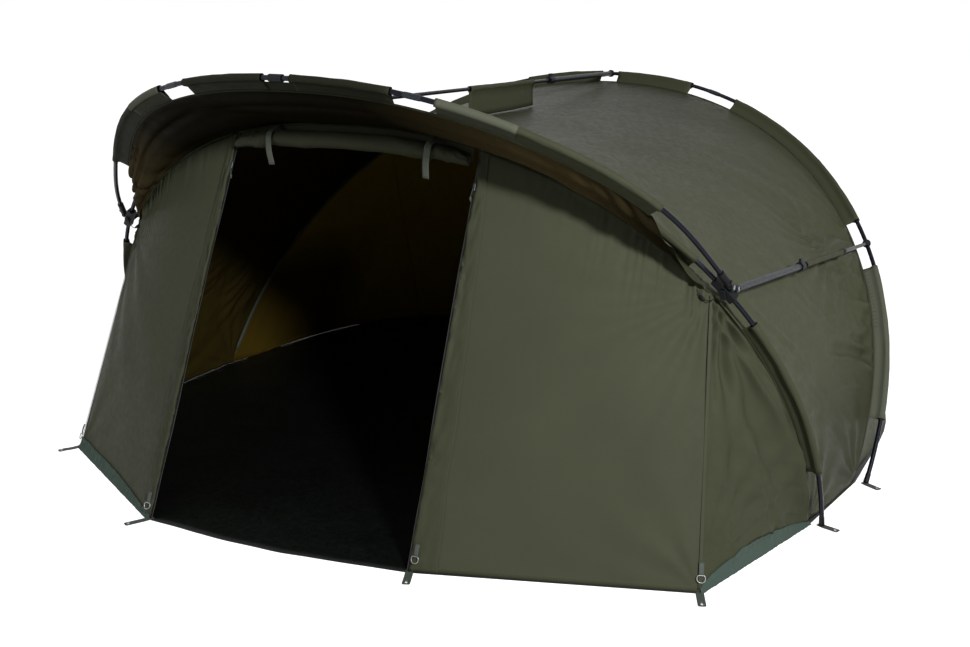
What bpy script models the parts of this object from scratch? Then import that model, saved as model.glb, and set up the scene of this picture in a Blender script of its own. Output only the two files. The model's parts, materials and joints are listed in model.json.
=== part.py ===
"""A two-rib bivvy tent with a forward peak, pitched and with its door rolled up.

Metres, +Z up. The door faces -Y, the camper's right is +X when seen from behind the door's
right-hand panel, and the origin is on the ground under the middle of the tent's bounding box.
"""

import math
from collections import namedtuple

import bmesh
import bpy
from mathutils import Matrix, Vector

COLLECTION = "bivvy_tent"
CUTTERS = "cutters"

# Fits between pieces that touch
GAP = 0.0003
RUNNING_GAP = 0.0005
OVERRUN = 0.02

# Footprint on the ground, measured from the middle of the tent
DOOR_HALF_WIDTH = 0.483
DOOR_FOOT_Y = -1.3725
DOOR_SKEW = Vector((0.013, 0.058, 0))
CORNER_HALF_WIDTH = 1.252
CORNER_FOOT_Y = -1.0345
CORNER_SKEW = Vector((0.050, 0.038, 0))
BACK_HEM_Y = 1.5045
BACK_HEM_HALF_WIDTH = 1.455
BACK_HEM_POWER = 3.5
BACK_HEM_START = 0.06

# The three ribs: where each stands, how far it leans back, and the arch it makes in its plane
MAIN_FOOT_Y = -0.3455
MAIN_LEAN = math.radians(-23.2)
MAIN_HALF_WIDTH = 1.482
MAIN_RISE = 1.325
MAIN_SPRING = 0.12
MAIN_POWER = 2.17
HUB_REACH = 0.927
REAR_FOOT_Y = 0.0845
REAR_LEAN = math.radians(37.5)
REAR_HALF_WIDTH = 1.52
REAR_RISE = 1.55
REAR_SPRING = 0.15
REAR_POWER = 2.08
REAR_TEE_REACH = 0.957
PEAK_LEAN = math.radians(-41.8)
PEAK_RISE = 0.802
PEAK_CENTRE_DROP = 0.602
PEAK_POWER = 2.32
PEAK_SWAY = 0.044
PEAK_SLEEVE_START = 0.345

# Poles
POLE_RADIUS = 0.008
POLE_SIDES = 8
LOWER_STEPS = 6
UPPER_STEPS = 12
PEAK_BARE_STEPS = 3

# Sleeves that carry the poles, and the welt along the seam that each one is sewn to
SLEEVE_DEPTH = 0.045
PEAK_SLEEVE_DEPTH = 0.055
SLEEVE_CLOTH = 0.0022
SLEEVE_NECK = 0.024
FIN_HALF = 0.0012
WELT_RADIUS = 0.003
SLEEVE_ARC = math.radians(115)
SLEEVE_ARC_STEPS = 6
WELT_STEPS = 5
LEG_SLEEVE_START = 0.24
LEG_SLEEVE_HUB_GAP = 0.127
REAR_SLEEVE_END = 0.254
REAR_TEE_WINDOW = 0.19
REAR_SIDE_WINDOW_X = (0.41, 0.63)
PEAK_WINDOW_X = (0.395, 0.53)
CENTRE_WINDOW_HALF = 0.055
REAR_CENTRE_WINDOW_HALF = 0.042

# Canopy cloth, thicker here than the real coated fabric so that it closes as a solid
CLOTH = 0.0024
ROOF_SPANS = 8
SIDE_SPANS = 6
BACK_ROWS = 6
CANOPY_SPANS = 4
PANEL_ROWS = 8
WING_COLUMNS = 4
ROOF_SAG = 0.05
SIDE_SAG = 0.02
BACK_SAG = 0.03
CANOPY_SAG = 0.02
PANEL_BULGE = 0.015
DOOR_STATION = LOWER_STEPS + 8
BACK_SEAM_STATION = LOWER_STEPS + 3
WING_TOP_SHARE = 0.93
CORNER_SEAM_GAP = 0.0021

# Groundsheet and the webbing straps at the feet and corners
SHEET_THICK = 0.0025
HEM_LIFT = SHEET_THICK + GAP + CLOTH / 2
SHEET_UNDER_HEM = 0.008
STRAP_WIDTH = 0.025
STRAP_THICK = 0.002
FOOT_STRAP_OUTER = 0.062
CORNER_STRAP_OUTER = 0.085
EYELET_RADIUS = 0.0045
EYELET_SIDES = 12
MAIN_STRAP_TURN = math.radians(-15)
REAR_STRAP_TURN = math.radians(-27)
CORNER_STRAP_TURN = math.radians(-64)
FOOT_STRAP_INNER = 0.065
CORNER_STRAP_INNER = 0.03

# Hub: a moulded block that takes the arc, the leg, the peak rib and the tension bar
HUB_WIDTH = 0.026
HUB_HEIGHT = 0.086
HUB_DEPTH = 0.028
HUB_DROP = 0.012
HUB_BOSS_REACH = 0.0235
HUB_BOSS_RADIUS = 0.0075
HUB_LUG = Vector((0.022, 0.0325, 0.018))
HUB_LUG_DOWN = 0.026
HUB_BEVEL = 0.004
SOCKET_DEPTH = 0.014
PIN_RADIUS = 0.004
PIN_HEAD_RADIUS = 0.0075
PIN_HEAD = 0.003
PEAK_PIVOT_UP = 0.002
BAR_PIVOT_BACK = 0.0272
EYE_RADIUS = 0.0115
EYE_THICK = 0.012
EYE_SETBACK = (PIN_HEAD_RADIUS + EYE_RADIUS) / 2
KNUCKLE_RADIUS = 0.0115
KNUCKLE_LENGTH = 0.052
KNUCKLE_START = 0.0145
KNUCKLE_SOCKET = 0.036
ROUND_SIDES = 16
FITTING_RADIUS = 0.012
FITTING_LENGTH = 0.05

# Tension bars: a thick tube and a thinner rod that telescopes in it
TUBE_RADIUS = 0.011
ROD_RADIUS = 0.007
SIDE_TUBE_LENGTH = 0.56
CENTRE_MOUTH = 1.426
ROD_OVERLAP = 0.03
TUBE_END_WALL = 0.004
COLLAR_RADIUS = 0.0155
COLLAR_LENGTH = 0.034
COLLAR_WING = 0.012
COLLAR_WING_LENGTH = 0.027
COLLAR_WING_WIDTH = 0.007
TEE_RADIUS = 0.0120
TEE_LENGTH = 0.020
TEE_BALL_RADIUS = 0.0165
TEE_BALL_RINGS = 10
MAIN_TEE_PIVOT_BACK = 0.034
MAIN_TEE_PIVOT_UP = 0.016
LUG_THICK = 0.008
BAR_END_CLEARANCE = 0.0006
COVER_RADIUS = 0.0100
SIDE_COVER_SPAN = (0.62, 1.03)
SIDE_COVER_DEPTH = 0.026
CENTRE_COVER_SPAN = (0.75, 1.25)
COVER_STEPS = 4
COVER_LIFT = 0.0022

# Rolled door, zips and the clips at the front corners
ROLL_RADIUS = 0.034
ROLL_END_RADIUS = 0.014
ROLL_SIDES = 10
ROLL_SWELL_SHARE = 0.12
ROLL_FOLDS = 3
ROLL_FULL_HALF_WIDTH = 0.35
ROLL_HALF_WIDTH = 0.468
ROLL_MIDDLE_Z = 1.238
ROLL_BOW = 0.016
ROLL_CORNER_DROP = 0.04
ROLL_FORWARD = 0.035
SLIDER_SIZE = Vector((0.010, 0.009, 0.026))
SLIDER_DROP = 0.12
SLIDER_GAP = 0.0007
SLIDER_BEVEL = 0.002
CLIP_PLATE = Vector((0.018, 0.004, 0.034))
CLIP_STUB_RADIUS = 0.003
CLIP_STUB_LENGTH = 0.010
CLIP_HOLE_DROP = 0.010
CLIP_BEVEL = 0.0012

CLOTH_OLIVE = (0.075, 0.085, 0.055)
SHEET_BLACK = (0.008, 0.010, 0.009)
POLE_BLACK = (0.018, 0.020, 0.026)
BAR_GREY = (0.085, 0.095, 0.105)
PLASTIC_BLACK = (0.012, 0.013, 0.015)
STEEL = (0.55, 0.56, 0.57)
WEBBING = (0.030, 0.034, 0.030)

Frame = namedtuple("Frame", "centre out side")


# Scene helpers


def start_scene():
    """Empties the scene and makes the two collections."""
    for obj in list(bpy.data.objects):
        bpy.data.objects.remove(obj, do_unlink=True)
    for name in (COLLECTION, CUTTERS):
        old = bpy.data.collections.get(name)
        if old is None:
            old = bpy.data.collections.new(name)
            bpy.context.scene.collection.children.link(old)


def material(name, colour, roughness, metallic=0.0):
    """A Principled BSDF material of one colour."""
    made = bpy.data.materials.get(name) or bpy.data.materials.new(name)
    made.use_nodes = True
    shader = made.node_tree.nodes["Principled BSDF"]
    shader.inputs["Base Color"].default_value = (*colour, 1)
    shader.inputs["Roughness"].default_value = roughness
    shader.inputs["Metallic"].default_value = metallic
    return made


def place(obj, look, collection=COLLECTION):
    """Links the object and gives it a material named for it."""
    bpy.data.collections[collection].objects.link(obj)
    if look:
        colour, roughness, metallic = look
        obj.data.materials.append(material(obj.name, colour, roughness, metallic))
    return obj


CLOTH_LOOK = (CLOTH_OLIVE, 0.62, 0.0)
SHEET_LOOK = (SHEET_BLACK, 0.6, 0.0)
POLE_LOOK = (POLE_BLACK, 0.35, 0.6)
BAR_LOOK = (BAR_GREY, 0.35, 0.7)
PLASTIC_LOOK = (PLASTIC_BLACK, 0.4, 0.0)
STEEL_LOOK = (STEEL, 0.25, 1.0)
WEB_LOOK = (WEBBING, 0.8, 0.0)


def mesh_object(name, bm, look, collection=COLLECTION, smooth=True):
    """Turns a bmesh into a placed object."""
    bmesh.ops.recalc_face_normals(bm, faces=bm.faces)
    mesh = bpy.data.meshes.new(name)
    bm.to_mesh(mesh)
    bm.free()
    if smooth:
        mesh.shade_smooth()
        mesh.set_sharp_from_angle(angle=math.radians(35))
    return place(bpy.data.objects.new(name, mesh), look, collection)


def as_cutter(obj):
    """Hides an object that only cuts or joins others."""
    obj.hide_render = True
    obj.display_type = "WIRE"
    return obj


def boolean(obj, other, operation="DIFFERENCE"):
    """Cuts the object with another, or joins the two into one body."""
    modifier = obj.modifiers.new(operation.lower(), "BOOLEAN")
    modifier.operation = operation
    modifier.solver = "EXACT"
    modifier.object = as_cutter(other)
    return obj


def rounded(obj, width):
    """Rounds the sharp edges of a moulded piece."""
    bevel = obj.modifiers.new("rounded", "BEVEL")
    bevel.width = width
    bevel.segments = 1
    bevel.limit_method = "ANGLE"
    return obj


def set_origin(obj, point):
    """Puts the object's origin on a joint's axis without moving its shape."""
    obj.data.transform(Matrix.Translation(-point))
    obj.matrix_world = Matrix.Translation(point)
    return obj


def joint_empty(name, point, children):
    """An empty on a joint's axis, with the pieces that move about it."""
    empty = bpy.data.objects.new(name, None)
    bpy.data.collections[COLLECTION].objects.link(empty)
    empty.matrix_world = Matrix.Translation(point)
    for child in children:
        child.parent = empty
        child.matrix_parent_inverse = Matrix.Translation(-point)
    return empty


def bore_radius(radius, sides, clearance=GAP):
    """Corner radius of a faceted hole whose flats clear a round piece."""
    return (radius + clearance) / math.cos(math.pi / sides)


def turned(name, start, end, radius, look, sides=ROUND_SIDES, collection=COLLECTION):
    """A cylinder between two points."""
    bm = bmesh.new()
    run = end - start
    bmesh.ops.create_cone(
        bm, cap_ends=True, segments=sides, radius1=radius, radius2=radius, depth=run.length
    )
    turn = run.to_track_quat("Z", "Y").to_matrix().to_4x4()
    bmesh.ops.transform(bm, matrix=Matrix.Translation((start + end) / 2) @ turn, verts=bm.verts)
    return mesh_object(name, bm, look, collection)


def block(name, centre, size, axes, look, collection=COLLECTION):
    """A box of the given size along three given axes."""
    bm = bmesh.new()
    bmesh.ops.create_cube(bm, size=1)
    turn = Matrix([axes[0], axes[1], axes[2]]).transposed().to_4x4()
    scale = Matrix.Diagonal((*size, 1))
    bmesh.ops.transform(bm, matrix=Matrix.Translation(centre) @ turn @ scale, verts=bm.verts)
    return mesh_object(name, bm, look, collection, smooth=False)


def pole(name, points, radius, look):
    """A tube along points, as a curve with filled caps."""
    curve = bpy.data.curves.new(name, "CURVE")
    curve.dimensions = "3D"
    curve.bevel_depth = radius
    curve.bevel_resolution = 2
    curve.use_fill_caps = True
    spline = curve.splines.new("POLY")
    spline.points.add(len(points) - 1)
    for target, point in zip(spline.points, points):
        target.co = (*point, 1)
        target.radius = 1
    spline.use_smooth = True
    return place(bpy.data.objects.new(name, curve), look)


# Ribs


class Rib:
    """An arched pole in a leaning plane, with the frames along it."""

    def __init__(self, foot, lean, half_width, rise, spring, power, sway=0.0):
        self.foot = foot
        self.lean = lean
        self.half_width = half_width
        self.rise = rise
        self.spring = spring
        self.power = power
        self.sway = sway
        self.up = Vector((0, math.sin(lean), math.cos(lean)))
        self.side = Vector((0, math.cos(lean), -math.sin(lean)))

    def angle_at_reach(self, reach):
        """The arch angle of the point this far up the plane from the foot."""
        share = (reach - self.spring) / self.rise
        return math.copysign(math.asin(abs(share) ** (self.power / 2)), share)

    def angle_at_width(self, width):
        """The arch angle of the point this far out from the middle."""
        return math.acos((width / self.half_width) ** (self.power / 2))

    def frame(self, angle, inset=0.0):
        """Centre, outward and sideways directions at an arch angle."""
        cos, sin = math.cos(angle), math.sin(angle)
        width = math.copysign(abs(cos) ** (2 / self.power), cos) * self.half_width
        reach = self.spring + math.copysign(abs(sin) ** (2 / self.power), sin) * self.rise
        slope = 2 - 2 / self.power
        across = math.copysign(abs(cos) ** slope, cos) / self.half_width
        along = math.copysign(abs(sin) ** slope, sin) / self.rise
        out = (Vector((1, 0, 0)) * across + self.up * along).normalized()
        share = min(max(reach / (self.spring + self.rise), 0), 1)
        sway = self.sway * math.sin(math.pi * share) ** 2
        centre = self.foot + Vector((width + sway, 0, 0)) + self.up * reach
        return Frame(centre - out * inset, out, self.side)

    def frames(self, angles, inset=0.0):
        """Frames from the right-hand angles up, over the top and down the left side."""
        right = [self.frame(angle, inset) for angle in angles]
        left = [self.frame(math.pi - angle, inset) for angle in reversed(angles[:-1])]
        return right + left


def spread(start, end, steps):
    """Evenly spaced values, both ends included."""
    return [start + (end - start) * i / steps for i in range(steps + 1)]


def rib_angles(rib, reach, knee):
    """Arch angles from the foot to the knee and on to the top."""
    knee_angle = rib.angle_at_reach(knee)
    lower = spread(rib.angle_at_reach(reach), knee_angle, LOWER_STEPS)
    return lower + spread(knee_angle, math.pi / 2, UPPER_STEPS)[1:]


def foot_reach(lean):
    """How far up its plane a pole's foot stands, clear of the strap under it."""
    return (STRAP_THICK + GAP + POLE_RADIUS * abs(math.sin(lean))) / math.cos(lean)


MAIN = Rib(
    Vector((0, MAIN_FOOT_Y, 0)), MAIN_LEAN, MAIN_HALF_WIDTH, MAIN_RISE, MAIN_SPRING, MAIN_POWER
)
REAR = Rib(
    Vector((0, REAR_FOOT_Y, 0)), REAR_LEAN, REAR_HALF_WIDTH, REAR_RISE, REAR_SPRING, REAR_POWER
)
HUB = MAIN.frame(MAIN.angle_at_reach(HUB_REACH))
HUB_TANGENT = HUB.out.cross(HUB.side)
PEAK_X = HUB.centre.x + HUB_BOSS_REACH + RUNNING_GAP + EYE_THICK / 2
PEAK_PIVOT = Vector((PEAK_X, HUB.centre.y, HUB.centre.z)) + MAIN.up * PEAK_PIVOT_UP
PEAK_HEIGHT = PEAK_RISE + PEAK_CENTRE_DROP
PEAK_SHARE = (1 - (PEAK_CENTRE_DROP / PEAK_HEIGHT) ** PEAK_POWER) ** (1 / PEAK_POWER)
PEAK = Rib(
    Vector((0, PEAK_PIVOT.y, PEAK_PIVOT.z)),
    PEAK_LEAN,
    PEAK_X / PEAK_SHARE,
    PEAK_HEIGHT,
    -PEAK_CENTRE_DROP,
    PEAK_POWER,
    PEAK_SWAY,
)

MAIN_ANGLES = rib_angles(MAIN, foot_reach(MAIN_LEAN), HUB_REACH)
REAR_ANGLES = rib_angles(REAR, foot_reach(REAR_LEAN), REAR_TEE_REACH)
PEAK_ANGLES = spread(PEAK.angle_at_reach(PEAK_SLEEVE_START), math.pi / 2, UPPER_STEPS)
MAIN_FRAMES = MAIN.frames(MAIN_ANGLES)
ARC_FRAMES = MAIN_FRAMES[LOWER_STEPS : -LOWER_STEPS]
REAR_FRAMES = REAR.frames(REAR_ANGLES)
PEAK_FRAMES = PEAK.frames(PEAK_ANGLES)
TOP = LOWER_STEPS + UPPER_STEPS


def seam(frames, depth):
    """The seam line under a rib, where the cloth panels meet its sleeve."""
    return [frame.centre - frame.out * depth for frame in frames]


MAIN_SEAM = seam(MAIN_FRAMES, SLEEVE_DEPTH)
REAR_SEAM = seam(REAR_FRAMES, SLEEVE_DEPTH)
PEAK_SEAM = seam(PEAK_FRAMES, PEAK_SLEEVE_DEPTH)


def along(points, place_on):
    """The point at a fractional station of a line of points, on its straight runs."""
    low = min(max(int(math.floor(place_on)), 0), len(points) - 2)
    return points[low].lerp(points[low + 1], place_on - low)


def stretch(frames, start, end):
    """Frames from one fractional station to another, with the whole ones between."""
    places = [start] + [i for i in range(len(frames)) if start < i < end] + [end]
    found = []
    for spot in places:
        low = min(int(math.floor(spot)), len(frames) - 2)
        part = spot - low
        first, second = frames[low], frames[low + 1]
        centre = first.centre.lerp(second.centre, part)
        found.append(Frame(centre, first.out.lerp(second.out, part).normalized(), first.side))
    return found


def station(values, wanted):
    """Fractional station at which a rising list of values reaches the wanted one."""
    for i in range(len(values) - 1):
        low, high = values[i], values[i + 1]
        if (low - wanted) * (high - wanted) <= 0 and low != high:
            return i + (wanted - low) / (high - low)
    return 0.0


def towards(point, other, distance):
    return point + (other - point).normalized() * distance


# Swept shapes


def sweep(name, frames, outlines, look, collection=COLLECTION):
    """A closed body through an outline at each frame; outlines hold (out, side) pairs."""
    bm = bmesh.new()
    rings = []
    for frame, outline in zip(frames, outlines):
        rings.append(
            [bm.verts.new(frame.centre + frame.out * a + frame.side * b) for a, b in outline]
        )
    count = len(rings[0])
    for ring, following in zip(rings, rings[1:]):
        for i in range(count):
            j = (i + 1) % count
            bm.faces.new((ring[i], ring[j], following[j], following[i]))
    bm.faces.new(rings[0])
    bm.faces.new(rings[-1])
    return mesh_object(name, bm, look, collection)


def teardrop(radius, depth):
    """Outline of a sleeve: round the pole, a flat fin below it, and a welt at the seam."""
    points = []
    for i in range(SLEEVE_ARC_STEPS + 1):
        angle = -SLEEVE_ARC + 2 * SLEEVE_ARC * i / SLEEVE_ARC_STEPS
        points.append((radius * math.cos(angle), radius * math.sin(angle)))
    points.append((-SLEEVE_NECK, FIN_HALF))
    first = math.asin(FIN_HALF / WELT_RADIUS)
    for i in range(WELT_STEPS + 1):
        angle = first + (2 * math.pi - 2 * first) * i / WELT_STEPS
        points.append((-depth + WELT_RADIUS * math.cos(angle), WELT_RADIUS * math.sin(angle)))
    points.append((-SLEEVE_NECK, -FIN_HALF))
    return points


def circle(radius, sides):
    """Outline of a round bore."""
    return [
        (radius * math.cos(2 * math.pi * i / sides), radius * math.sin(2 * math.pi * i / sides))
        for i in range(sides)
    ]


SLEEVE_BORE = bore_radius(POLE_RADIUS, POLE_SIDES, RUNNING_GAP)
SLEEVE_RADIUS = SLEEVE_BORE + SLEEVE_CLOTH


def sleeve(name, frames, start, end, depth, windows):
    """A cloth sleeve along a rib, open at its windows down to the welt."""
    body = stretch(frames, start, end)
    made = sweep(name, body, [teardrop(SLEEVE_RADIUS, depth)] * len(body), CLOTH_LOOK)
    bore = extended(body)
    round_hole = circle(SLEEVE_BORE, POLE_SIDES)
    boolean(made, sweep(name + "_bore", bore, [round_hole] * len(bore), None, CUTTERS))
    low, high, wide = 2 * WELT_RADIUS - depth, 2 * SLEEVE_RADIUS, 2 * SLEEVE_RADIUS
    opening = [(low, -wide), (high, -wide), (high, wide), (low, wide)]
    for number, (first, last) in enumerate(windows):
        gap = stretch(frames, first, last)
        if last - first < 1:
            gap = [gap[0], gap[-1]]
        cutter = sweep(f"{name}_window_{number}", gap, [opening] * len(gap), None, CUTTERS)
        boolean(made, cutter)
    return made


def extended(frames):
    """The same run of frames, carried on past both ends for a cut."""
    first, second, before, last = frames[0], frames[1], frames[-2], frames[-1]
    head = first.centre + (first.centre - second.centre).normalized() * OVERRUN
    tail = last.centre + (last.centre - before.centre).normalized() * OVERRUN
    return [first._replace(centre=head)] + frames[1:-1] + [last._replace(centre=tail)]


# Cloth panels


def seam_setback(way, run, out):
    """How far along its way a sheet's edge stops, clear of a seam's welt and fin."""
    run = run.normalized()
    across = way - run * way.dot(run)
    lean = across.angle(out)
    clear = SEAM_CLEAR
    if lean < math.pi / 2:
        beside_fin = (FIN_HALF + GAP + CLOTH / 2 * math.cos(lean)) / math.sin(lean)
        clear = max(clear, beside_fin)
    return clear / across.length


def off_seam(rows, end, frames, extra=0.0):
    """Draws one edge of a grid in from the seam that its rows start or finish on."""
    inner = 1 if end == 0 else -2
    edge = [row[end] for row in rows]
    for i, row in enumerate(rows):
        way = (row[inner] - row[end]).normalized()
        run = edge[min(i + 1, len(edge) - 1)] - edge[max(i - 1, 0)]
        setback = seam_setback(way, run, frames[i].out) + extra
        row[end] = edge[i] + way * setback
    return rows


def off_edge(rows, first=0.0, last=0.0, left=0.0, right=0.0):
    """Draws a grid's free edges in by the given distances."""
    rows[0] = [towards(p, q, first) for p, q in zip(rows[0], rows[1])]
    rows[-1] = [towards(p, q, last) for p, q in zip(rows[-1], rows[-2])]
    for row in rows:
        row[0] = towards(row[0], row[1], left)
        row[-1] = towards(row[-1], row[-2], right)
    return rows


def panel(name, rows, look=CLOTH_LOOK):
    """A sheet of cloth through a grid of points, thickened to a solid."""
    bm = bmesh.new()
    grid = [[bm.verts.new(point) for point in row] for row in rows]
    for row, following in zip(grid, grid[1:]):
        for i in range(len(row) - 1):
            bm.faces.new((row[i], row[i + 1], following[i + 1], following[i]))
    made = mesh_object(name, bm, look)
    solid = made.modifiers.new("cloth", "SOLIDIFY")
    solid.thickness = CLOTH
    solid.offset = 0
    return made


SEAM_CLEAR = WELT_RADIUS + GAP


def roof_rows():
    """The roof between the main and rear seams, from bar to bar over the top."""
    front = MAIN_SEAM[LOWER_STEPS : -LOWER_STEPS]
    back = REAR_SEAM[LOWER_STEPS : -LOWER_STEPS]
    count = len(front) - 1
    rows = []
    for i, (a, b) in enumerate(zip(front, back)):
        lift = math.sin(math.pi * i / count)
        across = math.cos(math.pi * i / count)
        inward = Vector((-across, 0, -lift)).normalized()
        sag = ROOF_SAG * math.sqrt(lift) if 0 < i < count else 0
        rows.append(
            [a.lerp(b, s) + inward * sag * math.sin(math.pi * s) for s in spread(0, 1, ROOF_SPANS)]
        )
    return rows


def back_hem(share):
    """A point of the back hem, from the rear foot round to the middle of the back."""
    turn = BACK_HEM_START + (math.pi / 2 - BACK_HEM_START) * share
    x = BACK_HEM_HALF_WIDTH * math.cos(turn) ** (2 / BACK_HEM_POWER)
    y = REAR_FOOT_Y + (BACK_HEM_Y - REAR_FOOT_Y) * math.sin(turn) ** (2 / BACK_HEM_POWER)
    return Vector((x, y, HEM_LIFT))


def mirrored(point):
    return Vector((-point.x, point.y, point.z))


def back_hem_line():
    """The back hem at every station of the rear rib, right foot to left foot."""
    right = [back_hem(i / TOP) for i in range(TOP + 1)]
    return right + [mirrored(point) for point in reversed(right[:-1])]


BACK_HEM = back_hem_line()


def grounded(points):
    """The same line with its first and last points at hem height."""
    found = [point.copy() for point in points]
    for end in (0, -1):
        found[end].z = HEM_LIFT
    return found


def back_rows(start, end):
    """A strip of the back wall from the rear seam down to the hem."""
    top = grounded(REAR_SEAM)
    rows = []
    for i in range(start, end + 1):
        inward = Vector((-top[i].x, -BACK_HEM_Y, 0)).normalized()
        depth = (top[i] - BACK_HEM[i]).length
        sag = BACK_SAG * depth
        rows.append(
            [
                top[i].lerp(BACK_HEM[i], s) + inward * sag * math.sin(math.pi * s)
                for s in spread(0, 1, BACK_ROWS)
            ]
        )
    return rows


def canopy_rows():
    """The peak canopy between the main seam and the peak seam."""
    inner = MAIN_SEAM[LOWER_STEPS : -LOWER_STEPS]
    rows = []
    for a, b in zip(inner, PEAK_SEAM):
        rows.append(
            [
                a.lerp(b, s) - Vector((0, 0, CANOPY_SAG)) * math.sin(math.pi * s)
                for s in spread(0, 1, CANOPY_SPANS)
            ]
        )
    return rows


def side_line(side, points):
    """Right-hand points, or the matching left-hand ones."""
    return points if side > 0 else points[::-1]


def side_share(side):
    """The front is pegged a little askew: sideways alike on both sides, and fore and aft apart."""
    return Vector((1, side, 1))


def door_foot(side):
    return Vector((side * DOOR_HALF_WIDTH, DOOR_FOOT_Y, HEM_LIFT)) + DOOR_SKEW * side_share(side)


def corner_foot(side):
    return Vector((side * CORNER_HALF_WIDTH, CORNER_FOOT_Y, HEM_LIFT)) + CORNER_SKEW * side_share(side)


def front_rows(side):
    """A front panel beside the door, from the corner seam to the door's edge."""
    top = side_line(side, MAIN_SEAM)[LOWER_STEPS : DOOR_STATION + 1]
    count = len(top) - 1
    bottom = [corner_foot(side).lerp(door_foot(side), i / count) for i in range(count + 1)]
    rows = []
    for i, (a, b) in enumerate(zip(top, bottom)):
        bulge = PANEL_BULGE * math.sin(math.pi * i / count)
        rows.append(
            [
                a.lerp(b, s) + Vector((0, -1, 0)) * bulge * math.sin(math.pi * s)
                for s in spread(0, 1, PANEL_ROWS)
            ]
        )
    return rows


def wing_rows(side):
    """The narrow wing between the corner seam and the main leg's seam."""
    leg = grounded(side_line(side, MAIN_SEAM))
    knee = leg[LOWER_STEPS]
    foot = corner_foot(side)
    rows = []
    for i in range(LOWER_STEPS + 1):
        spot = i if i < LOWER_STEPS else LOWER_STEPS - 1 + WING_TOP_SHARE / 2
        height = (leg[i].z if i < LOWER_STEPS else along(leg, spot).z) - foot.z
        share = height / (knee.z - foot.z)
        outer = along(leg, spot)
        inner = foot.lerp(knee, share)
        rows.append([outer.lerp(inner, s) for s in spread(0, 1, WING_COLUMNS)])
    return rows


def side_rows(side):
    """The side panel below the tension bar, from the main leg back to the rear rib."""
    front = grounded(side_line(side, MAIN_SEAM))[: LOWER_STEPS + 1]
    back = grounded(side_line(side, REAR_SEAM))[: LOWER_STEPS + 1]
    rows = []
    for i, (a, b) in enumerate(zip(front, back)):
        sag = SIDE_SAG * math.sin(math.pi * i / LOWER_STEPS)
        rows.append(
            [
                a.lerp(b, s) - Vector((side, 0, 0)) * sag * math.sin(math.pi * s)
                for s in spread(0, 1, SIDE_SPANS)
            ]
        )
    return rows


def side_name(base, side):
    return f"{base}_{'right' if side > 0 else 'left'}"


def make_cloth():
    """Every panel of the canopy and walls."""
    free_edge = CORNER_SEAM_GAP / 2
    rows = off_seam(roof_rows(), 0, ARC_FRAMES)
    rows = off_seam(rows, -1, REAR_FRAMES[LOWER_STEPS : -LOWER_STEPS])
    panel("roof_panel", off_edge(rows, free_edge, free_edge))
    rows = off_seam(canopy_rows(), 0, ARC_FRAMES, extra=CLOTH)
    panel("peak_canopy", off_seam(rows, -1, PEAK_FRAMES))
    last = 2 * TOP
    split = BACK_SEAM_STATION
    spans = {
        "back_panel_right": (0, split, GAP, free_edge),
        "back_panel_centre": (split, last - split, free_edge, free_edge),
        "back_panel_left": (last - split, last, free_edge, GAP),
    }
    for name, (start, end, first, final) in spans.items():
        rows = off_seam(back_rows(start, end), 0, REAR_FRAMES[start : end + 1])
        panel(name, off_edge(rows, first, final))
    for side in (1, -1):
        leg = side_line(side, MAIN_FRAMES)
        rows = off_seam(front_rows(side), 0, leg[LOWER_STEPS : DOOR_STATION + 1])
        panel(side_name("front_panel", side), off_edge(rows, CORNER_SEAM_GAP))
        rows = off_seam(wing_rows(side), 0, leg)
        panel(side_name("wing_panel", side), off_edge(rows, right=CORNER_SEAM_GAP))
        rows = off_seam(off_seam(side_rows(side), 0, leg), -1, side_line(side, REAR_FRAMES))
        panel(side_name("side_panel", side), off_edge(rows, last=free_edge))


# Groundsheet and straps


def sheet_outline(margin):
    """The groundsheet's corners, this far outside the hems."""
    outline = [door_foot(1), corner_foot(1), MAIN_SEAM[0], REAR_SEAM[0]]
    outline += BACK_HEM[1:-1]
    outline += [REAR_SEAM[-1], MAIN_SEAM[-1], corner_foot(-1), door_foot(-1)]
    flat = [Vector((point.x, point.y, 0)) for point in outline]
    return [point + point.normalized() * margin for point in flat]


def make_groundsheet():
    """One flat sheet, out to just past the hems."""
    outline = sheet_outline(SHEET_UNDER_HEM)
    curve = bpy.data.curves.new("groundsheet", "CURVE")
    curve.dimensions = "2D"
    curve.fill_mode = "BOTH"
    curve.extrude = SHEET_THICK / 2
    spline = curve.splines.new("POLY")
    spline.points.add(len(outline) - 1)
    for target, point in zip(spline.points, outline):
        target.co = (*point, 1)
    spline.use_cyclic_u = True
    made = place(bpy.data.objects.new("groundsheet", curve), SHEET_LOOK)
    made.location = (0, 0, SHEET_THICK / 2)


def sheet_cutter():
    """A block over the groundsheet's outline, which trims the straps where they meet it."""
    bm = bmesh.new()
    outline = sheet_outline(SHEET_UNDER_HEM + GAP)
    low = [bm.verts.new(point - Vector((0, 0, OVERRUN))) for point in outline]
    base = bm.faces.new(low)
    raised = bmesh.ops.extrude_face_region(bm, geom=[base])["geom"]
    top = [part for part in raised if isinstance(part, bmesh.types.BMVert)]
    bmesh.ops.translate(bm, vec=(0, 0, 2 * OVERRUN), verts=top)
    return mesh_object("sheet_cutter", bm, None, CUTTERS, smooth=False)


def strap(name, start, direction, length, sheet):
    """A flat webbing strap on the ground with an eyelet near its outer end."""
    across = Vector((-direction.y, direction.x, 0))
    up = Vector((0, 0, 1))
    centre = start + direction * length / 2 + up * STRAP_THICK / 2
    size = (length, STRAP_WIDTH, STRAP_THICK)
    made = block(name, centre, size, (direction, across, up), WEB_LOOK)
    boolean(made, sheet)
    eye = start + direction * (length - STRAP_WIDTH / 2)
    bottom, top = eye - up * OVERRUN, eye + up * OVERRUN
    boolean(made, turned(name + "_eye", bottom, top, EYELET_RADIUS, None, EYELET_SIDES, CUTTERS))


def flat_direction(angle):
    return Vector((math.cos(angle), math.sin(angle), 0))


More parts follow.
